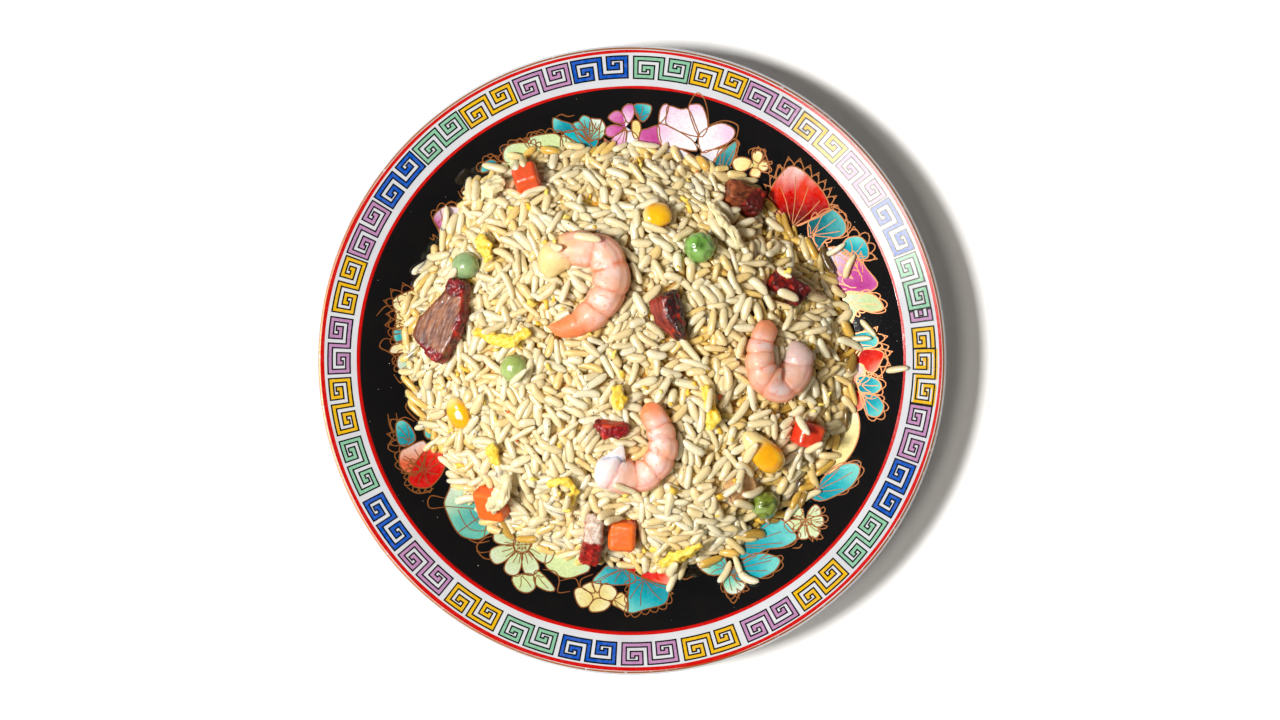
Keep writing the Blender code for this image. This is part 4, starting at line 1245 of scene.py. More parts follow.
def heights_along(name, stations):
    """Heights of the solid's middle along a line, smoothed, and level past its ends."""
    solid = tree_of(merged_copy(name))
    spans = [span_at(solid, s.x * MM, s.y * MM) for s in stations]
    known = [(i, sum(span) / 2) for i, span in enumerate(spans) if span]
    heights = np.interp(range(len(stations)), [i for i, _ in known], [h for _, h in known])
    return np.convolve(np.pad(heights, 8, mode="edge"), np.ones(17) / 17, mode="valid")


def shrimp_mesh(name, food):
    """A curled, peeled shrimp: swollen rings with creases between them, and a flattened tail."""
    steps, sides = 150, 44
    stations = through(SHRIMP_LINES[name], steps)
    heights = heights_along(name, stations)
    curl = sum((Vector((s.x, s.y)) for s in stations), Vector((0, 0))) / steps
    length = sum((a.xy - b.xy).length for a, b in zip(stations, stations[1:]))
    seed = Vector((len(name) * 3.3, SHRIMP_LINES[name][0][0], 1))
    flesh, orange = tuple(food.shrimp), tuple(food.shrimp_back)
    head, pale, tail_colour, tail_start = SHRIMP_SKINS[name]
    points, paint = [], []
    for i, s in enumerate(stations):
        along = i / (steps - 1)
        before, after = stations[max(i - 1, 0)], stations[min(i + 1, steps - 1)]
        way = Vector((after.x - before.x, after.y - before.y, 0)).normalized()
        side = Vector((way.y, -way.x, 0))
        if side.dot(Vector((s.x - curl.x, s.y - curl.y, 0))) < 0:
            side = -side
        centre = Vector((s.x * MM, s.y * MM, heights[i]))
        ends = min(1, (along * 9 + 0.02) ** 0.5) * min(1, ((1 - along) * 16 + 0.02) ** 0.5)
        tail = ramp(0.8, 1.0, along)
        for k in range(sides):
            a = math.tau * k / sides
            out, up = math.cos(a), math.sin(a)
            spot = Vector((out * s.z * 0.2, up * s.z * 0.2, along * length / 5)) + seed
            lean = 0.02 * grit(spot, 1.6) + 0.012 * out
            gap = min(abs(joint - along - lean) for joint in SHRIMP_JOINTS)
            crease = math.exp(-((gap / 0.008) ** 2))
            ring = 1 - 0.06 * math.exp(-((gap / 0.03) ** 2)) - 0.09 * crease * (0.4 + 0.6 * ramp(-0.3, 0.5, grit(spot, 0.7)))
            vein = math.exp(-(((a - 0.85) / 0.13) ** 2)) * (1 - ramp(0.6, 0.72, along)) * ramp(0.1, 0.2, along)
            lumps = 0.07 * grit(spot, 1.3, 2) + 0.02 * grit(spot, 0.35, 2)
            radius = s.z * MM * ends * (ring - 0.07 * vein + lumps)
            flat = 0.8 - 0.36 * tail
            points.append(centre + side * radius * out + Vector((0, 0, radius * flat * up)))
            patch = grit(spot, 1.1, 3)
            # Painted light: pale patches on the upper side of the body, away from its edges.
            shade = mix(flesh, pale, ramp(-0.5, 0.6, patch) * ramp(-0.1, 0.8, up) * (1 - ramp(0.75, 1, abs(out))))
            shade = mix(shade, orange, 0.5 * ramp(0.62, 0.98, abs(out)) * ramp(-0.2, 0.4, up + 0.3 * patch))
            shade = mix(shade, orange, 0.3 * math.exp(-((gap / 0.03) ** 2)))
            shade = mix(shade, orange, 0.95 * crease * ramp(-0.2, 0.5, grit(spot + seed, 0.9)))
            thread = math.exp(-((grit(spot * 1.3 + seed, 1.2, 2) / 0.03) ** 2)) * ramp(-0.1, 0.2, patch)
            shade = mix(shade, orange, max(0.8 * thread, 0.55 * vein * ramp(-0.3, 0.3, patch)))
            shade = mix(shade, head, 0.9 * (1 - ramp(0.1, 0.24, along + 0.05 * patch)))
            paint.append(mix(shade, tail_colour, ramp(tail_start - 0.1, tail_start + 0.1, along + 0.04 * patch)))
    faces = grid_faces(steps, sides)
    for start in (0, (steps - 1) * sides):
        points.append(sum(points[start : start + sides], Vector()) / sides)
        paint.append(paint[start])
        faces += [(start + (k + 1) % sides, start + k, len(points) - 1) for k in range(sides)]
    if name == "shrimp_3":
        add_head_fin(points, faces, paint, stations[14], heights[14], pale)
    return mesh_of(name, points, faces, paint)


def add_head_fin(points, faces, paint, station, height, colour):
    """The pointed flap of flesh that stands up beside the head end."""
    root = Vector((station.x * MM, station.y * MM, height)) + Vector((2.2, 2.4, 2.4)) * MM
    tip = root + Vector((2.6, 5.0, 1.6)) * MM
    rows, sides = 10, 16
    start = len(points)
    for i in range(rows):
        share = i / (rows - 1)
        wide = 3.6 * MM * (1 - share) ** 0.8 + 0.2 * MM
        centre = root.lerp(tip, share)
        for k in range(sides):
            a = math.tau * k / sides
            points.append(centre + Vector((math.cos(a) * wide, math.sin(a) * wide * 0.6, math.sin(a) * wide * 0.4)))
            paint.append(mix(colour, tone(0.94, 0.88, 0.84), share))
    faces += [tuple(start + c for c in f) for f in grid_faces(rows, sides)]
    for row, order in ((0, reversed(range(sides))), (rows - 1, range(sides))):
        faces.append(tuple(start + row * sides + k for k in order))


class FRIEDRICE_OT_shrimps(bpy.types.Operator):
    """Curl the three shrimps"""

    bl_idname = "friedrice.shrimps"
    bl_label = "Shrimps"

    def execute(self, context):
        flesh = food_material("shrimp_flesh", 0.1, 0.6 * MM, 0.1 * MM, 0.36, 0.8, 3 * MM, gloss=0.12)
        for name in SHRIMP_LINES:
            mesh = outward(shrimp_mesh(name, context.scene.friedrice_food))
            piece(f"{name}_flesh", mesh, flesh, "shrimp", name)
        return {"FINISHED"}


# ---------------------------------------------------------------- roast pork

# Fibre direction in degrees; meat from dark to light; bark; then where bark starts: the direction it lies in, in
# degrees, and its distance from the middle in millimetres, and how far along the fibres the ends are bark.
PORK_PIECES = {
    "roast_pork_1": (66, tone(0.36, 0.15, 0.07), tone(0.62, 0.38, 0.21), tone(0.50, 0.02, 0.06), -14, 4.6, 9.2),
    "roast_pork_2": (112, tone(0.36, 0.08, 0.06), tone(0.66, 0.25, 0.18), tone(0.22, 0.015, 0.03), 15, -0.8, 9.0),
    "roast_pork_3": (-25, tone(0.30, 0.03, 0.04), tone(0.62, 0.08, 0.07), tone(0.34, 0.015, 0.03), -60, -1.0, 3.6),
    "roast_pork_4": (-8, tone(0.38, 0.16, 0.09), tone(0.68, 0.36, 0.20), tone(0.34, 0.05, 0.03), -45, 0.4, 6.4),
    "roast_pork_5": (-8, tone(0.60, 0.05, 0.06), tone(0.92, 0.34, 0.18), tone(0.58, 0.02, 0.06), -80, -0.8, 2.6),
    "roast_pork_6": (84, tone(0.80, 0.66, 0.56), tone(0.95, 0.90, 0.86), tone(0.62, 0.04, 0.04), -96, 0.6, 12.0),
    "pork_slice": (20, tone(0.80, 0.60, 0.38), tone(0.92, 0.76, 0.56), tone(0.60, 0.34, 0.24), -60, 5.4, 7.6),
}


# Pieces that narrow to a point: its direction in degrees, how much narrower, and how much longer.
PORK_POINTS = {"roast_pork_2": (-62, 0.75, 0.22), "roast_pork_5": (-104, 0.8, 0.25)}


def pork_mesh(name):
    """Torn roast pork: fine curved fibres on the cut faces and a crumpled, glazed bark."""
    degrees, dark, light, bark, bark_degrees, bark_start, end_start = PORK_PIECES[name]
    low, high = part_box(name)
    middle = (low + high) / 2
    grain = Vector((math.cos(math.radians(degrees)), math.sin(math.radians(degrees)), 0))
    across = Vector((-grain.y, grain.x, 0))
    bark_way = Vector((math.cos(math.radians(bark_degrees)), math.sin(math.radians(bark_degrees)), 0))

    def fibre(point):
        local = (point - middle) / MM
        bent = local.dot(across) + 0.02 * local.dot(grain) ** 2
        return grit(Vector((local.dot(grain) * 0.12, bent, local.z * 0.7)), 0.75, 3)

    def bark_at(point, normal):
        """1 where the piece is bark: beyond its line, at the ends and down the sides."""
        local = (point - middle) / MM
        beyond = local.dot(bark_way) - bark_start
        end = abs(local.dot(grain)) - end_start
        wander = 1.2 * grit(point, 2.5 * MM, 3)
        return max(ramp(-0.5, 0.5, max(beyond, end) + wander), 0.75 * ramp(0.45, 0.85, 1 - normal.z + 0.1 * wander))

    def height(point, normal):
        crust = bark_at(point, normal)
        folds = 0.55 * grit(point, 1.5 * MM, 4) + 0.35 * grit(point, 3.5 * MM, 2)
        return (fibre(point) * 0.055 * (1 - crust) + folds * (0.15 + 0.85 * crust)) * MM

    mesh = remeshed(name, 0.3 * MM, 4)
    if name in PORK_POINTS:
        degrees, narrower, longer = PORK_POINTS[name]
        tip = Vector((math.cos(math.radians(degrees)), math.sin(math.radians(degrees)), 0))
        reach = max(abs((v.co - middle).dot(tip)) for v in mesh.vertices)
        for v in mesh.vertices:
            local = v.co - middle
            far = local.dot(tip) / reach
            aside = local - tip * local.dot(tip)
            aside.z = 0
            v.co -= aside * narrower * max(far, 0) - tip * reach * longer * max(far, 0)
        mesh.update()
    mesh = push(mesh, height)
    points, normals = points_and_normals(mesh)
    colours = []
    for p, n in zip(points, normals):
        point, normal = Vector(p), Vector(n)
        crust = bark_at(point, normal)
        body = mix(dark, light, ramp(-0.55, 0.6, fibre(point) + 0.5 * grit(point, 5 * MM, 2)))
        glaze = mix(bark, mix(bark, (0.0, 0.0, 0.0), 0.7), ramp(-0.05, 0.5, grit(point, 2.0 * MM, 3)))
        glaze = mix(glaze, mix(bark, (1.0, 0.05, 0.02), 0.4), ramp(0.1, 0.5, grit(point + middle, 2.8 * MM, 2)))
        colours.append(mix(body, glaze, crust))
    set_paint(mesh, colours)
    return mesh


class FRIEDRICE_OT_pork(bpy.types.Operator):
    """Tear the roast pork"""

    bl_idname = "friedrice.pork"
    bl_label = "Roast pork"

    def execute(self, context):
        meat = food_material("roast_pork", 0.2, 0.4 * MM, 0.03 * MM, 0.36, 0.2, 1.2 * MM, gloss=0.12)
        for name in PORK_PIECES:
            piece(f"{name}_meat", pork_mesh(name), meat, "pork", name)
        return {"FINISHED"}


# ---------------------------------------------------------------- vegetables


def carrot_mesh(name, food):
    """A diced cube of carrot with knife-cut faces and slightly rounded edges."""
    colour = tuple(food.carrot)
    deep = tone(0.86, 0.20, 0.10)
    redder = {"carrot_1": 0.55, "carrot_4": 0.95}.get(name, 0.0)
    mesh = push(
        remeshed(name, 0.4 * MM, 3),
        lambda p, n: (grit(p, 2.5 * MM, 2) * 0.14 + grit(p, 0.7 * MM, 2) * 0.05) * MM,
    )
    low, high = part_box(name)
    middle = (low + high) / 2
    points, normals = points_and_normals(mesh)
    colours = []
    for p, n in zip(points, normals):
        point = Vector(p)
        ring = ((point - middle) / MM).length * 0.55 + grit(point, 3 * MM, 2)
        pale = 0.2 * ramp(0.2, 0.9, math.sin(ring * 2.4)) * ramp(0.5, 0.9, abs(n[2]))
        shade = mix(mix(colour, deep, redder), tone(0.98, 0.58, 0.22), pale)
        # Painted shade: faces that stand upright are darkened towards deep red.
        colours.append(mix(shade, deep, 0.5 * ramp(0.3, 0.9, 1 - abs(n[2]))))
    set_paint(mesh, colours)
    return mesh


# Each pea's colour, and how wrinkled it is.
PEAS = {
    "pea_1": (tone(0.46, 0.68, 0.28), 0.8),
    "pea_2": (tone(0.56, 0.68, 0.48), 0.15),
    "pea_3": (tone(0.62, 0.70, 0.38), 0.2),
    "pea_4": (tone(0.50, 0.57, 0.18), 1.0),
}


def pea_mesh(name):
    """A pea: smooth with a dimple, or wrinkled where it dried."""
    green, wrinkled = PEAS[name]
    mesh = evaluated(merged_copy(name), ("SUBSURF", {"levels": 2, "render_levels": 2}))
    low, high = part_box(name)
    middle = (low + high) / 2
    seed = Vector((high.x / MM, 0, 0))
    dimple_way = Vector((0.15, 0.1, 0.98)).normalized()

    def dips(point):
        way = (point - middle).normalized()
        dimple = math.exp(-((way - dimple_way).length ** 2) * 9)
        folds = ramp(0.0, 0.3, 0.26 - abs(grit(way + seed, 0.8, 2)))
        return dimple * ramp(0, 0.8, wrinkled), folds * wrinkled

    mesh = push(mesh, lambda p, n: (0.3 - 0.7 * dips(p)[0] - 0.45 * dips(p)[1]) * MM)
    points, _ = points_and_normals(mesh)
    colours = []
    for p in points:
        point = Vector(p)
        dimple, folds = dips(point)
        shade = mix(green, tone(0.72, 0.82, 0.56), 0.45 * ramp(-0.3, 0.6, grit((point - middle) / MM, 3.0, 2)))
        # Painted shade: the dimple and the folds are darkened towards dark green.
        colours.append(mix(shade, mix(green, (0.0, 0.0, 0.0), 0.7), min(0.95 * dimple + 0.7 * folds, 1)))
    set_paint(mesh, colours)
    return mesh


def corn_mesh(name, food):
    """A corn kernel: a plump shiny crown that pales to its root."""
    mesh = evaluated(merged_copy(name), ("SUBSURF", {"levels": 2, "render_levels": 2}))
    mesh = push(mesh, lambda p, n: (0.25 + grit(p, 4 * MM, 2) * 0.35) * MM)
    low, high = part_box(name)
    middle = (low + high) / 2
    root_way = {"corn_1": Vector((-1, -0.2, 0)), "corn_2": Vector((-0.5, 0.9, 0)), "corn_3": Vector((-0.7, 0.7, 0))}
    way = root_way[name].normalized()
    reach = (high - low).length / 2
    if name == "corn_3":
        for v in mesh.vertices:
            v.co += way * 0.6 * max((v.co - middle).dot(way), 0)
        mesh.update()
    points, _ = points_and_normals(mesh)
    yellow, deep, pale = tuple(food.corn), tone(0.97, 0.60, 0.04), tone(0.93, 0.85, 0.60)
    colours = []
    for p in points:
        point = Vector(p)
        end = (point - middle).dot(way) / reach
        shade = mix(yellow, deep, 0.55 * ramp(-0.4, 0.6, grit(point, 5 * MM, 2)))
        colours.append(mix(shade, pale, ramp(0.25, 0.75, end)))
    set_paint(mesh, colours)
    return mesh


class FRIEDRICE_OT_vegetables(bpy.types.Operator):
    """Dice the carrot, and pick the peas and corn"""

    bl_idname = "friedrice.vegetables"
    bl_label = "Carrot, peas and corn"

    def execute(self, context):
        food = context.scene.friedrice_food
        carrot = food_material("carrot", 0.12, 0.45 * MM, 0.05 * MM, 0.28, 0.3, 1.5 * MM, gloss=0.3)
        pea = food_material("pea", 0.12, 0.9 * MM, 0.04 * MM, 0.16, 0.25, 1.2 * MM, gloss=0.6)
        corn = food_material("corn", 0.08, 1.2 * MM, 0.03 * MM, 0.14, 0.35, 1.8 * MM, gloss=0.7)
        kinds = (
            ("carrot", 4, carrot, lambda name: carrot_mesh(name, food)),
            ("pea", 4, pea, pea_mesh),
            ("corn", 3, corn, lambda name: corn_mesh(name, food)),
        )
        for slot, count, skin, build in kinds:
            for number in range(1, count + 1):
                name = f"{slot}_{number}"
                piece(f"{name}_skin", build(name), skin, slot, name)
        return {"FINISHED"}


# ---------------------------------------------------------------- egg and chicken


def shred_mesh(name, colour, pale, fibrous):
    """A shred of egg or chicken: curds or fibres, with torn edges."""
    low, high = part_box(name)
    middle = (low + high) / 2
    long_way = Vector((high.x - low.x, high.y - low.y, 0)).normalized()
    if name in ("chicken_shred", "egg_3", "egg_7", "egg_1", "egg_white_1"):
        long_way = Vector((0.25, -0.97, 0))

    def texture(point):
        local = point - middle
        if fibrous:
            side = Vector((-long_way.y, long_way.x, 0))
            return grit(Vector((local.dot(long_way) * 0.14, local.dot(side), local.z)), 0.7 * MM, 3)
        return grit(local, 1.5 * MM, 4)

    mesh = push(
        remeshed(name, 0.34 * MM, 3),
        lambda p, n: (texture(p) * (0.42 if fibrous else 0.4) + grit(p, 3 * MM, 2) * 1.1 + 0.05) * MM,
    )
    points, _ = points_and_normals(mesh)
    # Painted shade: the colour follows the relief, pale on raised curds and fibres and darker in the hollows between
    # them.
    set_paint(mesh, [mix(colour, pale, ramp(-0.5, 0.7, texture(Vector(p)))) for p in points])
    return mesh


class FRIEDRICE_OT_shreds(bpy.types.Operator):
    """Tear the egg and the chicken"""

    bl_idname = "friedrice.shreds"
    bl_label = "Egg and chicken"

    def execute(self, context):
        food = context.scene.friedrice_food
        egg = food_material("egg", 0.15, 0.6 * MM, 0.1 * MM, 0.35, 0.3, 1.5 * MM, gloss=0.15)
        white = food_material("egg_white", 0.1, 0.6 * MM, 0.1 * MM, 0.35, 0.35, 1.8 * MM, gloss=0.15)
        # The deep yellow and the darker cream below are painted into the hollows of the shreds as painted shade.
        deep = tone(0.95, 0.77, 0.18)
        for number in range(1, 8):
            name = f"egg_{number}"
            piece(f"{name}_curd", shred_mesh(name, deep, tuple(food.egg), False), egg, "egg", name)
        cream, shade = tuple(food.egg_white), tone(0.90, 0.84, 0.64)
        for name in ("egg_white_1", "egg_white_2", "chicken_shred"):
            mesh = shred_mesh(name, shade, cream, name != "egg_white_2")
            piece(f"{name}_flesh", mesh, white, "egg_white", name)
        return {"FINISHED"}


# ---------------------------------------------------------------- rice

GRID_STEP = 2 * MM
GRID_REACH = 80 * MM


class HeapSurface:
    """The heap's upper surface as a grid of heights, smooth across the pockets where food is pressed in."""

    def __init__(self):
        count = round(2 * GRID_REACH / GRID_STEP) + 1
        self.line = np.linspace(-GRID_REACH, GRID_REACH, count)
        heap = tree_of(merged_copy("rice_heap"))
        food = [tree_of(merged_copy(n)) for n in frame["nodes"] if n not in ("plate", "rice_heap")]
        self.height = np.zeros((count, count))
        self.inside = np.zeros((count, count), bool)
        covered = np.zeros((count, count), bool)
        for i, x in enumerate(self.line):
            for k, y in enumerate(self.line):
                span = span_at(heap, x, y)
                self.inside[i, k] = span is not None
                self.height[i, k] = span[1] if span else face_height(math.hypot(x, y))
                covered[i, k] = span is not None and any(span_at(f, x, y) for f in food)
        self.covered = covered.copy()
        for _ in range(1):
            covered[1:-1, 1:-1] |= covered[2:, 1:-1] | covered[:-2, 1:-1] | covered[1:-1, 2:] | covered[1:-1, :-2]
        for _ in range(260):
            around = (
                np.roll(self.height, 1, 0) + np.roll(self.height, -1, 0)
                + np.roll(self.height, 1, 1) + np.roll(self.height, -1, 1)
            ) / 4
            self.height[covered] = around[covered]

    def at(self, x, y):
        """Heights at these places, between the grid's own."""
        i = np.clip((np.asarray(x) + GRID_REACH) / GRID_STEP, 0, len(self.line) - 1.001)
        k = np.clip((np.asarray(y) + GRID_REACH) / GRID_STEP, 0, len(self.line) - 1.001)
        i0, k0 = i.astype(int), k.astype(int)
        fi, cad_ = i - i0, k - k0
        h = self.height
        return (
            h[i0, k0] * (1 - fi) * (1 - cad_) + h[i0 + 1, k0] * fi * (1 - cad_)
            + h[i0, k0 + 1] * (1 - fi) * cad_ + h[i0 + 1, k0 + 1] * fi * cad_
        )

    def slope(self, x, y):
        """Rise per metre along X and Y."""
        reach = 2.5 * MM
        return (
            (self.at(x + reach, y) - self.at(x - reach, y)) / (2 * reach),
            (self.at(x, y + reach) - self.at(x, y - reach)) / (2 * reach),
        )


def plate_heights(x, y):
    radius = np.hypot(x, y)
    climb = np.clip((np.minimum(radius, LIP_RADIUS) - MIDDLE_RADIUS) / (LIP_RADIUS - MIDDLE_RADIUS), 0, None)
    return FLOOR_HEIGHT + WALL_RISE * climb**WALL_CURVE + LIP_SLOPE * np.clip(radius - LIP_RADIUS, 0, None)


def core_mesh(surface, depth):
    """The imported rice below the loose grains, a little inside the heap's outline and closed below."""
    rings, sides = 56, 150
    outline = []
    for k in range(sides):
        angle = math.tau * k / sides
        reach = 0.02
        while reach < GRID_REACH - 2 * GRID_STEP:
            x, y = reach * math.cos(angle), reach * math.sin(angle)
            if surface.at(x, y) - face_height(reach) < depth * 0.75:
                break
            reach += 0.4 * MM
        outline.append(reach)
    outline = np.array([outline[k - 1] + outline[k] * 2 + outline[(k + 1) % sides] for k in range(sides)]) / 4
    points, faces = [Vector((0, 0, float(surface.at(0, 0)) - depth))], []
    for i in range(1, rings + 1):
        share = i / rings
        for k in range(sides):
            angle = math.tau * k / sides
            reach = outline[k] * share
            x, y = reach * math.cos(angle), reach * math.sin(angle)
            floor = face_height(reach) + 0.15 * MM
            relief = grit(Vector((x, y, 0)), 3.2 * MM, 4) * 1.1 * MM
            top = float(surface.at(x, y)) - depth + relief
            points.append(Vector((x, y, max(top, floor + 0.3 * MM * (1 - share)))))
    faces = [(0, 1 + k, 1 + (k + 1) % sides) for k in range(sides)]
    faces += [tuple(1 + c for c in reversed(f)) for f in grid_faces(rings, sides)]
    below = len(points)
    last = 1 + (rings - 1) * sides
    for k in range(sides):
        x, y, _ = points[last + k]
        points.append(Vector((x, y, face_height(math.hypot(x, y)) + 0.1 * MM)))
    points.append(Vector((0, 0, FLOOR_HEIGHT + 0.1 * MM)))
    for k in range(sides):
        n = (k + 1) % sides
        faces.append((last + k, below + k, below + n, last + n))
        faces.append((below + k, below + sides, below + n))
    return mesh_of("rice_core", points, faces)


def grain_mesh(name, length, width, bend, broken, ripple):
    """One cooked grain along X: swollen, grooved along its length, curved, with blunt or broken ends."""
    rings, sides = 9, 8
    points, ends = [], []
    for i in range(rings):
        place = 0.495 * math.sin(math.pi * ((i + 0.35) / (rings - 0.3) - 0.5))
        taper = (1 - abs(2 * place) ** 3.8) ** 0.55 * (1 - 0.25 * place)
        if broken and place > 0.2:
            taper = max(taper, 0.86 - 0.4 * (place - 0.2))
        for k in range(sides):
            a = math.tau * k / sides
            dents = 0.08 * math.cos(2 * a + ripple) + 0.1 * noise.noise(Vector((i * 0.6, a, ripple)))
            radius = width / 2 * taper * (1 + dents)
            arch = bend * length * (4 * place * place - 0.33)
            points.append(Vector((place * length, radius * math.cos(a) + arch, radius * math.sin(a) * 0.86)))
            ends.append(abs(2 * place))
    faces = grid_faces(rings, sides)
    for end, ring in ((-0.5, 0), (0.5, rings - 1)):
        hub = len(points)
        points.append(Vector((end * length, bend * length * 0.67, 0)))
        ends.append(1.0)
        faces += [(ring * sides + k, ring * sides + (k + 1) % sides, hub) for k in range(sides)]
    mesh = mesh_of(name, points, faces)
    layer = mesh.attributes.new("along", "FLOAT", "POINT")
    layer.data.foreach_set("value", ends)
    return outward(mesh)


# Name, length and width as shares of a whole grain, bend, broken end, groove's turn, and share of the grains.
GRAIN_KINDS = (
    ("straight", 1.0, 1.0, 0.03, False, 0.3, 0.3),
    ("curved", 1.12, 0.94, 0.09, False, 1.4, 0.28),
    ("plump", 0.88, 1.08, 0.06, False, 2.2, 0.26),
    ("broken", 0.66, 1.0, 0.04, True, 0.9, 0.16),
)


def close_pairs(points, reach):
    """Numbers of the points that lie within reach of each other, found by sorting them into cells."""
    cells = np.floor(points / reach).astype(np.int64)
    cells -= cells.min(0) - 1
    size = cells.max(0) + 2
    keys = (cells[:, 0] * size[1] + cells[:, 1]) * size[2] + cells[:, 2]
    order = np.argsort(keys, kind="stable")
    ranked = keys[order]
    firsts, seconds = [], []
    for dx in (-1, 0, 1):
        for dy in (-1, 0, 1):
            for dz in (-1, 0, 1):
                if (dx, dy, dz) < (0, 0, 0):
                    continue
                wanted = keys + (dx * size[1] + dy) * size[2] + dz
                low = np.searchsorted(ranked, wanted, "left")
                count = np.searchsorted(ranked, wanted, "right") - low
                first = np.repeat(np.arange(len(points)), count)
                ahead = np.arange(count.sum()) - np.repeat(np.cumsum(count) - count, count)
                second = order[np.repeat(low, count) + ahead]
                keep = first < second if (dx, dy, dz) == (0, 0, 0) else first != second
                firsts.append(first[keep])
                seconds.append(second[keep])
    first, second = np.concatenate(firsts), np.concatenate(seconds)
    near = ((points[first] - points[second]) ** 2).sum(1) < reach * reach
    return first[near], second[near]


BEADS = np.array((-0.86, -0.3, 0.3, 0.86))


def settle(centres, ways, halves, radius, depths, surface, obstacles, rounds):
    """Pushes grains apart until they lie beside and over each other. Each one is a short row of beads."""
    homes = centres.copy()
    owners = np.repeat(np.arange(len(centres)), len(BEADS))
    fixed = len(centres) * len(BEADS)
    for step in range(rounds):
        offsets = ways[:, None, :] * halves[:, None, None] * BEADS[None, :, None]
        beads = (centres[:, None, :] + offsets).reshape(-1, 3)
        everything = np.vstack((beads, obstacles))
        first, second = close_pairs(everything, 2 * radius)
        useful = (first < fixed) | (second < fixed)
        first, second = first[useful], second[useful]
        same = (first < fixed) & (second < fixed)
        same &= owners[np.minimum(first, fixed - 1)] == owners[np.minimum(second, fixed - 1)]
        first, second = first[~same], second[~same]
        gap = everything[first] - everything[second]
        distance = np.maximum(np.linalg.norm(gap, axis=1), 1e-6)
        thrust = gap / distance[:, None] * ((2 * radius - distance) * 0.5)[:, None]
        moves = np.zeros((len(centres), 3))
        turns = np.zeros((len(centres), 3))
        touches = np.full(len(centres), 1.0)
        for index, sign in ((first, 1), (second, -1)):
            mine = index < fixed
            who = owners[index[mine]]
            force = thrust[mine] * sign
            np.add.at(moves, who, force)
            np.add.at(turns, who, np.cross(offsets.reshape(-1, 3)[index[mine]], force))
            np.add.at(touches, who, 0.5)
        centres = centres + moves / touches[:, None] * 1.1
        ways = ways + np.cross(turns / touches[:, None] / (halves[:, None] ** 2), ways) * 0.45
        ways[:, 2] *= 0.96
        ways /= np.linalg.norm(ways, axis=1)[:, None]
        wanted = surface.at(centres[:, 0], centres[:, 1]) - depths
        centres[:, 2] += (wanted - centres[:, 2]) * 0.16
        centres[:, :2] += (homes[:, :2] - centres[:, :2]) * 0.02
        lowest = centres[:, 2] - np.abs(ways[:, 2]) * halves
        floor = plate_heights(centres[:, 0], centres[:, 1]) + radius
        centres[:, 2] += np.clip(floor - lowest, 0, None)
    return centres, ways


def heap_grains(rice, surface, obstacles, hidden):
    """Places, directions, kinds, lengths and tints of the grains of the heap's outer layers."""
    rng = np.random.default_rng(rice.seed)
    radius = rice.width * 0.39
    spots = np.zeros((0, 2))
    while len(spots) < rice.count:
        guess = rng.uniform(-GRID_REACH, GRID_REACH, (rice.count * 4, 2))
        depth = surface.at(guess[:, 0], guess[:, 1]) - plate_heights(guess[:, 0], guess[:, 1])
        rise_x, rise_y = surface.slope(guess[:, 0], guess[:, 1])
        steep = np.sqrt(1 + np.clip(rise_x**2 + rise_y**2, 0, 4))
        keep = (depth > 1.9 * MM) & (rng.uniform(0, 2.2, len(guess)) < steep)
        spots = np.vstack((spots, guess[keep]))
    spots = spots[: rice.count]
    lumps = np.array([noise.noise(Vector((x, y, 0.03)) / (8 * MM)) for x, y in spots]) * 1.5 * MM
    below = rng.uniform(0, 1, len(spots)) * rice.depth
    depths = radius * 0.7 + np.clip(lumps, -0.8 * MM, None) + 0.4 * MM + below
    room = surface.at(spots[:, 0], spots[:, 1]) - plate_heights(spots[:, 0], spots[:, 1])
    depths = np.minimum(depths, np.maximum(room - radius, radius * 0.5))
    heights = surface.at(spots[:, 0], spots[:, 1]) - depths
    centres = np.column_stack((spots, heights))
    swirl = np.array([noise.noise(Vector((x, y, 0.01)) / (13 * MM)) for x, y in spots]) * 4.5
    headings = swirl + rng.normal(0, 1.2, len(spots))
    rise_x, rise_y = surface.slope(spots[:, 0], spots[:, 1])
    normals = np.column_stack((-rise_x, -rise_y, np.ones(len(spots))))
    normals /= np.linalg.norm(normals, axis=1)[:, None]
    ways = np.column_stack((np.cos(headings), np.sin(headings), np.zeros(len(spots))))
    ways -= normals * (ways * normals).sum(1)[:, None]
    ways += normals * rng.normal(0, 0.24, len(spots))[:, None]
    ways /= np.linalg.norm(ways, axis=1)[:, None]
    # Painted shade: deeper grains are tinted towards golden, and deep grains on the right, where the heap is in shade,
    # further towards dark brown; a few grains at random get extra golden tint.
    shaded = np.clip((spots[:, 0] - 5 * MM) / (55 * MM), 0, 1)
    share = below / rice.depth
    tints = 0.1 + (0.75 + 0.7 * shaded) * share + rng.choice((0.0, 0.3), len(spots), p=(0.86, 0.14))
    free = np.array([not hidden(Vector(c)) for c in centres])
    centres, ways, depths, tints = centres[free], ways[free], depths[free], tints[free]
    kinds = rng.choice(len(GRAIN_KINDS), len(centres), p=[k[-1] for k in GRAIN_KINDS])
    lengths = rice.length * np.array([k[1] for k in GRAIN_KINDS])[kinds] * rng.uniform(0.86, 1.12, len(centres))
    halves = lengths / 2 - radius * 0.6
    rounds = 42
    centres, ways = settle(centres, ways, halves, radius, depths, surface, obstacles, rounds)
    return centres, ways, kinds, lengths / rice.length, tints


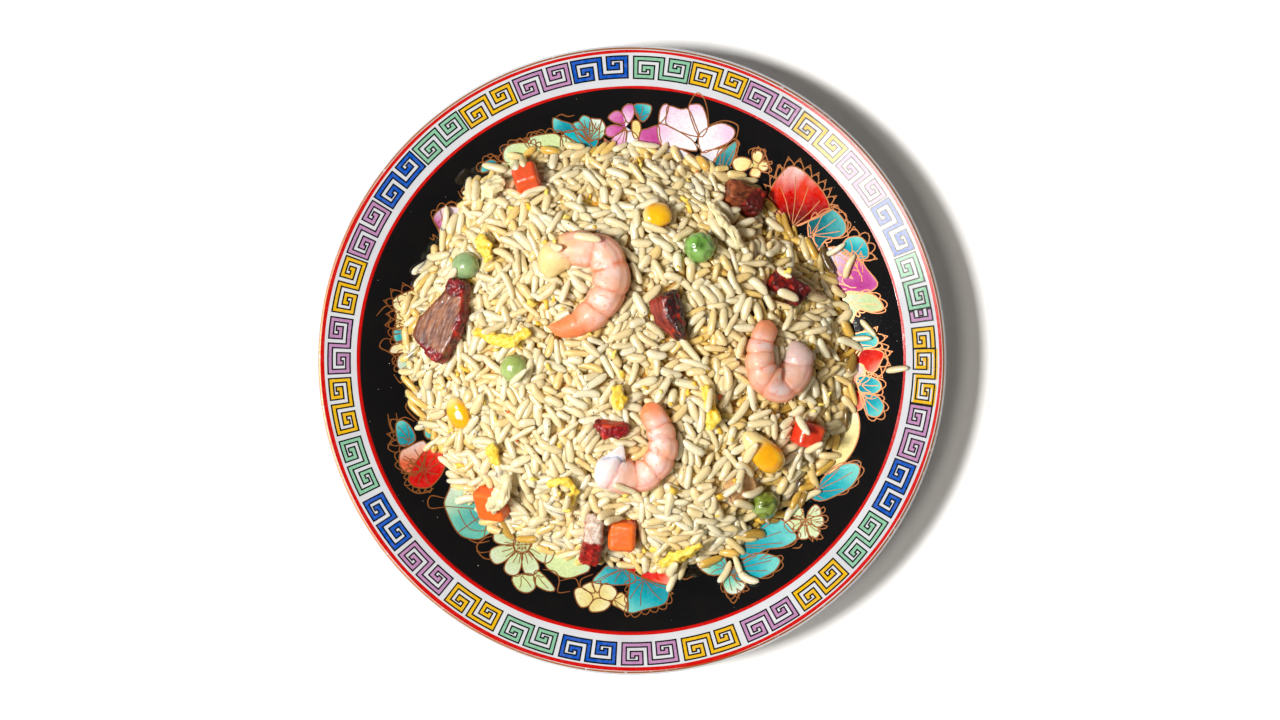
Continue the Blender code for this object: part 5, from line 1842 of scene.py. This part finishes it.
def scatter_tree(name):
    """Nodes that put a shape on each point, turned, sized and tinted as the point says, and join the copies."""
    tree = bpy.data.node_groups.new(name, "GeometryNodeTree")
    face = tree.interface
    for socket, kind in (
        ("Geometry", "Geometry"), ("Shape", "Object"), ("Size", "Float"), ("Vary", "Float"), ("Seed", "Int"),
        ("Finish", "Material"),
    ):
        face.new_socket(socket, in_out="INPUT", socket_type=f"NodeSocket{kind}")
    face.new_socket("Geometry", in_out="OUTPUT", socket_type="NodeSocketGeometry")
    add, link = tree.nodes.new, tree.links.new
    start, end = add("NodeGroupInput"), add("NodeGroupOutput")

    def stored(key, kind):
        found = add("GeometryNodeInputNamedAttribute")
        found.data_type = kind
        found.inputs["Name"].default_value = key
        return found.outputs["Attribute"]

    shape = add("GeometryNodeObjectInfo")
    link(start.outputs["Shape"], shape.inputs["Object"])
    scale = add("ShaderNodeVectorMath")
    scale.operation = "SCALE"
    link(stored("size", "FLOAT_VECTOR"), scale.inputs[0])
    link(start.outputs["Size"], scale.inputs["Scale"])
    chance = add("FunctionNodeRandomValue")
    link(start.outputs["Seed"], chance.inputs["Seed"])
    vary = add("ShaderNodeMath")
    vary.operation = "MULTIPLY_ADD"
    link(next(s for s in chance.outputs if s.enabled and s.type == "VALUE"), vary.inputs[0])
    link(start.outputs["Vary"], vary.inputs[1])
    link(stored("tint", "FLOAT"), vary.inputs[2])
    tint = add("GeometryNodeStoreNamedAttribute")
    tint.data_type = "FLOAT"
    tint.inputs["Name"].default_value = "tint"
    link(start.outputs["Geometry"], tint.inputs["Geometry"])
    link(vary.outputs[0], tint.inputs["Value"])
    copies = add("GeometryNodeInstanceOnPoints")
    link(tint.outputs["Geometry"], copies.inputs["Points"])
    link(shape.outputs["Geometry"], copies.inputs["Instance"])
    link(stored("turn", "FLOAT_VECTOR"), copies.inputs["Rotation"])
    link(scale.outputs["Vector"], copies.inputs["Scale"])
    real = add("GeometryNodeRealizeInstances")
    link(copies.outputs["Instances"], real.inputs["Geometry"])
    source = real
    for key in ("turn", "size"):
        dropped = add("GeometryNodeRemoveAttribute")
        dropped.inputs["Name"].default_value = key
        link(source.outputs["Geometry"], dropped.inputs["Geometry"])
        source = dropped
    finish = add("GeometryNodeSetMaterial")
    link(source.outputs["Geometry"], finish.inputs["Geometry"])
    link(start.outputs["Finish"], finish.inputs["Material"])
    link(finish.outputs["Geometry"], end.inputs["Geometry"])
    return tree


def scattered(name, shape_mesh, places, turns, sizes, tints, vary, seed, material, slot):
    """Copies of a shape at these places, joined into one piece."""
    cloud = bpy.data.meshes.new(name)
    cloud.from_pydata([tuple(p) for p in places], [], [])
    for key, rows in (("turn", turns), ("size", sizes)):
        layer = cloud.attributes.new(key, "FLOAT_VECTOR", "POINT")
        layer.data.foreach_set("vector", np.asarray(rows, np.float32).ravel())
    cloud.attributes.new("tint", "FLOAT", "POINT").data.foreach_set("value", np.asarray(tints, np.float32))
    holder = bpy.data.objects.new(name, cloud)
    shape = bpy.data.objects.new(f"{name}_shape", shape_mesh)
    for made in (holder, shape):
        bpy.context.scene.collection.objects.link(made)
    modifier = holder.modifiers.new("scatter", "NODES")
    tree = bpy.data.node_groups.get("scatter") or scatter_tree("scatter")
    modifier.node_group = tree
    inputs = {s.name: s.identifier for s in tree.interface.items_tree if s.in_out == "INPUT"}
    for key, value in (("Shape", shape), ("Size", 1.0), ("Vary", vary), ("Seed", seed), ("Finish", material)):
        modifier[inputs[key]] = value
    bpy.context.view_layer.update()
    mesh = bpy.data.meshes.new_from_object(holder.evaluated_get(bpy.context.evaluated_depsgraph_get()))
    for made in (holder, shape):
        bpy.data.objects.remove(made)
    mesh.name = name
    mesh.shade_smooth()
    return piece(name, mesh, material, slot)


def turn_of(way, roll):
    """Euler angles that lay a shape's X along this direction, rolled about it."""
    return Vector(way).to_track_quat("X", "Z").to_matrix() @ Matrix.Rotation(roll, 3, "X")


# Grains that lie over food and near the rim: x and y in millimetres and heading in degrees.
GRAINS_ON_TOP = (
    (50.5, 13.2, 67), (50.3, 20.9, -22), (56.2, -9.2, 58), (35.0, 4.2, 70), (-35.0, 64.4, 96),
    (-33.4, 53.4, 14), (-8.2, -49.5, 22), (-3.6, -48.5, 30), (36.8, -35.0, -40), (38.2, -29.6, 60),
    (-35.9, -5.2, 40), (-32.8, -3.4, 74), (-44.0, 10.2, 24), (16.4, 40.2, 30), (24.8, -12.4, 80),
    (-13.9, 38.9, -10), (-21.2, 22.0, 70), (-12.4, 21.4, 60), (9.8, -9.6, 60),
    (-2.2, -40.8, -20), (-10.0, -40.5, 160), (60.0, 20.4, -10), (-58.0, 27.2, 60), (-40.9, 34.0, -30),
    (1.6, 45.6, 90), (7.4, 42.4, -20), (46.2, 35.6, 40), (-49.6, -14.2, 62), (-51.8, -20.8, 50),
    (27.6, 42.0, -60), (55.0, -20.8, -60), (58.8, -28.0, 30), (-20.8, -46.0, 76), (13.2, -68.0, 60),
    (48.8, 28.1, -42), (34.8, -38.4, 78), (31.4, -42.0, 35), (36.4, -46.6, -20), (39.5, -42.6, 20),
    (-37.6, 63.0, 100), (-31.6, 54.6, 20), (-6.0, -51.4, 15), (-24.0, 36.0, -25), (-27.0, 21.4, 40),
)
GRAINS_ON_RIM = (
    (86.2, -2.9, 8), (77.2, 10.4, -48), (74.4, 7.0, 4), (-62.8, -17.6, 20), (-66.0, -21.0, -8),
    (-68.6, 30.4, 35), (-66.4, 24.4, 62), (-68.4, 27.0, 52), (-63.0, 34.0, 8), (-71.4, 3.0, 70),
    (-69.8, -2.6, 65), (-66.0, -6.4, 80), (-60.8, 46.0, 80), (-50.4, 55.0, 85), (30.6, -69.2, 60),
    (34.6, -66.8, 110), (38.0, -71.0, -25), (13.6, -71.8, 62), (58.0, -44.4, 30), (52.4, -49.0, 48),
    (66.0, -20.8, 12), (70.8, 30.6, 68), (66.4, 36.0, 30), (-25.4, 65.6, 80), (-8.0, 66.4, 20),
)


class FRIEDRICE_OT_rice(bpy.types.Operator):
    """Heap the rice: a packed core, layers of loose grains, and grains over the food and near the rim"""

    bl_idname = "friedrice.rice"
    bl_label = "Rice"

    def execute(self, context):
        rice = context.scene.friedrice_rice
        surface = HeapSurface()
        core = piece("rice_core", core_mesh(surface, rice.depth * 0.8), core_material(tuple(rice.core)), "rice")
        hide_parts("rice_heap")
        food_names = [n for n in frame["nodes"] if n not in ("plate", "rice_heap")]
        solids = [tree_of(merged_copy(n)) for n in food_names]
        obstacles = np.vstack([food_beads(n) for n in food_names])

        def hidden(point):
            for tree in solids:
                spot, normal, _, distance = tree.find_nearest(point)
                if distance < 9 * MM and (point - spot).dot(normal) < 0.2 * MM:
                    return True
            return False

        centres, ways, kinds, lengths, tints = heap_grains(rice, surface, obstacles, hidden)
        rng = np.random.default_rng(rice.seed + 1)
        extra = [laid_grain(*grain, surface, solids, rice) for grain in GRAINS_ON_TOP + GRAINS_ON_RIM]
        centres = np.vstack((centres, [e[0] for e in extra]))
        ways = np.vstack((ways, [e[1] for e in extra]))
        headroom = rice.width * 0.6 + np.abs(ways[:, 2]) * rice.length * 0.5
        centres[:, 2] = np.minimum(centres[:, 2], CAD_BOX[1].z - headroom)
        kinds = np.concatenate((kinds, rng.choice(2, len(extra))))
        lengths = np.concatenate((lengths, rng.uniform(0.9, 1.08, len(extra))))
        tints = np.concatenate((tints, np.full(len(extra), 0.2)))
        rolls = rng.uniform(0, math.tau, len(centres))
        widths = rng.uniform(0.88, 1.12, len(centres))
        finish = rice_material(tuple(rice.pale), tuple(rice.golden))
        for number, (name, length, width, bend, blunt, ripple, _) in enumerate(GRAIN_KINDS):
            shape = grain_mesh(f"grain_{name}", rice.length, rice.width * width, bend, blunt, ripple)
            mine = kinds == number
            turns = [turn_of(w, r).to_euler() for w, r in zip(ways[mine], rolls[mine])]
            sizes = np.column_stack((lengths[mine], widths[mine], widths[mine]))
            scattered(
                f"rice_{name}", shape, centres[mine], [tuple(t) for t in turns], sizes, tints[mine] - 0.15, 0.3,
                rice.seed + number, finish, "rice",
            )
        return {"FINISHED"}


def food_beads(name):
    """Points spread over a solid's faces, which keep grains out of it."""
    mesh = merged_copy(name)
    mesh.calc_loop_triangles()
    points, normals = points_and_normals(mesh)
    found = []
    for triangle in mesh.loop_triangles:
        a, b, c = (points[i] for i in triangle.vertices)
        area = np.linalg.norm(np.cross(b - a, c - a)) / 2
        middle = (a + b + c) / 3
        inward = np.array(triangle.normal) * 0.9 * MM
        found.append(middle - inward)
        if area > 2e-6:
            found += [(middle + corner) / 2 - inward for corner in (a, b, c)]
    return np.array(found)


def laid_grain(x_mm, y_mm, degrees, surface, solids, rice):
    """Where a grain rests when it is laid on whatever is highest below its middle and its ends."""
    heading = Vector((math.cos(math.radians(degrees)), math.sin(math.radians(degrees)), 0))
    centre = Vector((x_mm * MM, y_mm * MM, 0))

    def top(spot):
        radius = math.hypot(spot.x, spot.y)
        reach = float(surface.at(spot.x, spot.y)) if radius < GRID_REACH - GRID_STEP else face_height(radius)
        for tree in solids:
            span = span_at(tree, spot.x, spot.y)
            if span:
                reach = max(reach, span[1] + 0.2 * MM)
        return reach

    half = heading * rice.length * 0.36
    back, front, middle = top(centre - half), top(centre + half), top(centre)
    way = Vector((heading.x * rice.length * 0.72, heading.y * rice.length * 0.72, front - back))
    lift = max(middle, (front + back) / 2) + rice.width * 0.42
    return (centre.x, centre.y, lift), tuple(way.normalized())


# ---------------------------------------------------------------- bits


def crumb_mesh(name, size, jag, seed):
    """A small torn crumb."""
    bm = bmesh.new()
    bmesh.ops.create_icosphere(bm, subdivisions=2, radius=size)
    for v in bm.verts:
        v.co *= 1 + jag * noise.noise(v.co / size * 1.3 + Vector((seed, 0, 0)))
        v.co.z *= 0.6
    mesh = bpy.data.meshes.new(name)
    bm.to_mesh(mesh)
    bm.free()
    mesh.shade_smooth()
    return mesh


def flat_material(name, dark, light, roughness):
    """Small bits, each tinted between two colours."""
    made = Finish(name).set(Specular_IOR_Level=0.5)
    tint = made.attribute("tint", "Fac")
    speckle = made.range(made.noise(0.5 * MM, 3), 0.3, 0.7, 0.8, 1.1)
    made.colour(made.blend(1.0, made.blend(tint, dark, light), speckle, "MULTIPLY"))
    made.rough(made.range(made.noise(0.4 * MM), 0.3, 0.7, roughness, roughness + 0.2))
    return made.material


# Name, how many, size, jaggedness, dark and light colour, roughness, and whether they lie on the rice or the plate.
BITS = (
    ("pepper_specks", 150, 0.26, 0.9, tone(0.10, 0.06, 0.04), tone(0.34, 0.20, 0.10), 0.5, "rice"),
    ("egg_crumbs", 110, 1.1, 1.2, tone(0.96, 0.76, 0.22), tone(0.99, 0.90, 0.46), 0.35, "rice"),
    ("carrot_crumbs", 9, 0.6, 1.0, tone(0.82, 0.22, 0.06), tone(0.95, 0.45, 0.14), 0.35, "rice"),
    ("salt_specks", 45, 0.1, 0.8, tone(0.70, 0.68, 0.64), tone(0.95, 0.94, 0.90), 0.4, "plate"),
)


class FRIEDRICE_OT_bits(bpy.types.Operator):
    """Scatter pepper, crumbs of egg and carrot, and dust on the black glaze"""

    bl_idname = "friedrice.bits"
    bl_label = "Crumbs and specks"

    def execute(self, context):
        rice = context.scene.friedrice_rice
        rng = np.random.default_rng(rice.seed + 5)
        grains = [tree_of(o.data) for o in context.scene.objects if o.name.startswith("rice_") and o.type == "MESH"
                  and not o.hide_render and o.name != "rice_heap"]
        for name, count, size, jag, dark, light, roughness, bed in BITS:
            places = []
            while len(places) < count:
                angle = rng.uniform(0, math.tau)
                if bed == "rice":
                    reach = 68 * MM * math.sqrt(rng.uniform(0, 1))
                    x, y = reach * math.cos(angle), reach * math.sin(angle)
                    hits = [t.ray_cast(Vector((x, y, 0.2)), Vector((0, 0, -1)))[0] for t in grains]
                    heights = [h.z for h in hits if h]
                    if not heights:
                        continue
                    z = max(heights) - size * MM * 0.15
                else:
                    reach = rng.uniform(74, 87.5) * MM
                    x, y = reach * math.cos(angle), reach * math.sin(angle)
                    z = face_height(reach) + size * MM * 0.4
                places.append((x, y, z))
            turns = rng.uniform(0, math.tau, (count, 3)) * (1 if bed == "rice" else 0.1)
            sizes = rng.uniform(0.6, 1.5, (count, 1)) * rng.uniform(0.6, 1.3, (count, 3))
            slot = "egg" if name == "egg_crumbs" else "rice"
            shape = crumb_mesh(f"{name}_shape", size * MM, jag, len(name))
            finish = flat_material(name, dark, light, roughness)
            scattered(name, shape, places, turns, sizes, np.zeros(count), 1.0, rice.seed + 9, finish, slot)
        return {"FINISHED"}


# ---------------------------------------------------------------- stage


def soft_box(name, azimuth, elevation, distance, width, height, power, colour):
    """A rectangular lamp that points at the plate."""
    data = bpy.data.lights.new(name, "AREA")
    data.shape = "RECTANGLE"
    data.size, data.size_y = width, height
    data.energy = power
    data.color = colour
    lamp = bpy.data.objects.new(name, data)
    bpy.context.scene.collection.objects.link(lamp)
    around, up = math.radians(azimuth), math.radians(elevation)
    way = Vector((math.cos(around) * math.cos(up), math.sin(around) * math.cos(up), math.sin(up)))
    lamp.location = way * distance
    lamp.rotation_euler = way.to_track_quat("Z", "Y").to_euler()
    return lamp


class FRIEDRICE_OT_stage(bpy.types.Operator):
    """Set the pale floor, the lights and the camera above the plate"""

    bl_idname = "friedrice.stage"
    bl_label = "Stage"

    def execute(self, context):
        stage = context.scene.friedrice_stage
        scene = context.scene
        floor_mesh = mesh_of(
            "floor", [(-3, -3, 0), (3, -3, 0), (3, 3, 0), (-3, 3, 0)], [(0, 1, 2, 3)], smooth=False
        )
        finish = Finish("floor").set(Specular_IOR_Level=0.2)
        pale = tuple(stage.floor)
        finish.colour(finish.blend(finish.noise(0.3), pale, mix(pale, (1, 1, 1), 0.1)))
        finish.rough(finish.range(finish.noise(0.05), 0.3, 0.7, 0.75, 0.85))
        floor_mesh.materials.append(finish.material)
        floor = bpy.data.objects.new("floor", floor_mesh)
        scene.collection.objects.link(floor)
        floor.location.z = -0.1 * MM
        floor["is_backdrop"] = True
        soft_box("key_light", 187, 58.2, 2.0, 0.34, 0.26, stage.key_power, (1.0, 0.985, 0.96))
        soft_box("side_light", 214.5, 71, 1.6, 0.30, 0.33, stage.side_power, (1.0, 0.95, 0.86))
        world = bpy.data.worlds.new("studio")
        world.use_nodes = True
        nodes, links = world.node_tree.nodes, world.node_tree.links
        place = nodes.new("ShaderNodeTexCoord")
        split = nodes.new("ShaderNodeSeparateXYZ")
        fall = nodes.new("ShaderNodeMapRange")
        fall.inputs["From Min"].default_value = 0.15
        fall.inputs["From Max"].default_value = 0.8
        fall.inputs["To Min"].default_value = 0.35
        fall.inputs["To Max"].default_value = 0.03
        links.new(place.outputs["Generated"], split.inputs["Vector"])
        links.new(split.outputs["Z"], fall.inputs["Value"])
        links.new(fall.outputs["Result"], nodes["Background"].inputs["Strength"])
        nodes["Background"].inputs["Color"].default_value = (1.0, 0.88, 0.72, 1)
        scene.world = world
        scene.view_settings.view_transform = "Standard"
        scene.view_settings.look = "None"
        camera_data = bpy.data.cameras.new("camera")
        camera = bpy.data.objects.new("camera", camera_data)
        scene.collection.objects.link(camera)
        rim_height = PLATE_TOP.z
        frame_width = 414 * MM
        camera.location = (2.75 * MM, 0.1 * MM, rim_height + stage.camera_distance)
        camera_data.sensor_width = 36
        camera_data.lens = 36 * stage.camera_distance / frame_width
        camera_data.clip_end = 20
        scene.camera = camera
        return {"FINISHED"}


# ---------------------------------------------------------------- add-on


class FRIEDRICE_PT_panel(bpy.types.Panel):
    """Lists the plate's pieces in the sidebar"""

    bl_label = "Fried Rice"
    bl_idname = "FRIEDRICE_PT_panel"
    bl_space_type = "VIEW_3D"
    bl_region_type = "UI"
    bl_category = "Fried Rice"

    def draw(self, context):
        for operator in OPERATORS:
            self.layout.operator(operator.bl_idname)
        for group in ("friedrice_plate", "friedrice_rice", "friedrice_food", "friedrice_stage"):
            box = self.layout.box()
            settings = getattr(context.scene, group)
            for key in settings.__annotations__:
                box.prop(settings, key)


SETTINGS = (
    ("friedrice_plate", PlateSettings),
    ("friedrice_rice", RiceSettings),
    ("friedrice_food", FoodSettings),
    ("friedrice_stage", StageSettings),
)
OPERATORS = (
    FRIEDRICE_OT_plate,
    FRIEDRICE_OT_border,
    FRIEDRICE_OT_flowers,
    FRIEDRICE_OT_shrimps,
    FRIEDRICE_OT_pork,
    FRIEDRICE_OT_vegetables,
    FRIEDRICE_OT_shreds,
    FRIEDRICE_OT_rice,
    FRIEDRICE_OT_bits,
    FRIEDRICE_OT_stage,
)


def register():
    for _, group in SETTINGS:
        bpy.utils.register_class(group)
    for operator in OPERATORS:
        bpy.utils.register_class(operator)
    bpy.utils.register_class(FRIEDRICE_PT_panel)
    for name, group in SETTINGS:
        setattr(bpy.types.Scene, name, PointerProperty(type=group))


def unregister():
    for name, _ in SETTINGS:
        delattr(bpy.types.Scene, name)
    bpy.utils.unregister_class(FRIEDRICE_PT_panel)
    for operator in reversed(OPERATORS):
        bpy.utils.unregister_class(operator)
    for _, group in reversed(SETTINGS):
        bpy.utils.unregister_class(group)


def main():
    register()
    bpy.ops.friedrice.plate()
    bpy.ops.friedrice.border()
    bpy.ops.friedrice.flowers()
    bpy.ops.friedrice.shrimps()
    bpy.ops.friedrice.pork()
    bpy.ops.friedrice.vegetables()
    bpy.ops.friedrice.shreds()
    bpy.ops.friedrice.rice()
    bpy.ops.friedrice.bits()
    bpy.ops.friedrice.stage()
    boxes = {"cad": CAD_BOX, "visual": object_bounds()}
    {key: [list(corner) for corner in box] for key, box in boxes.items()}


if __name__ == "__main__":
    main()
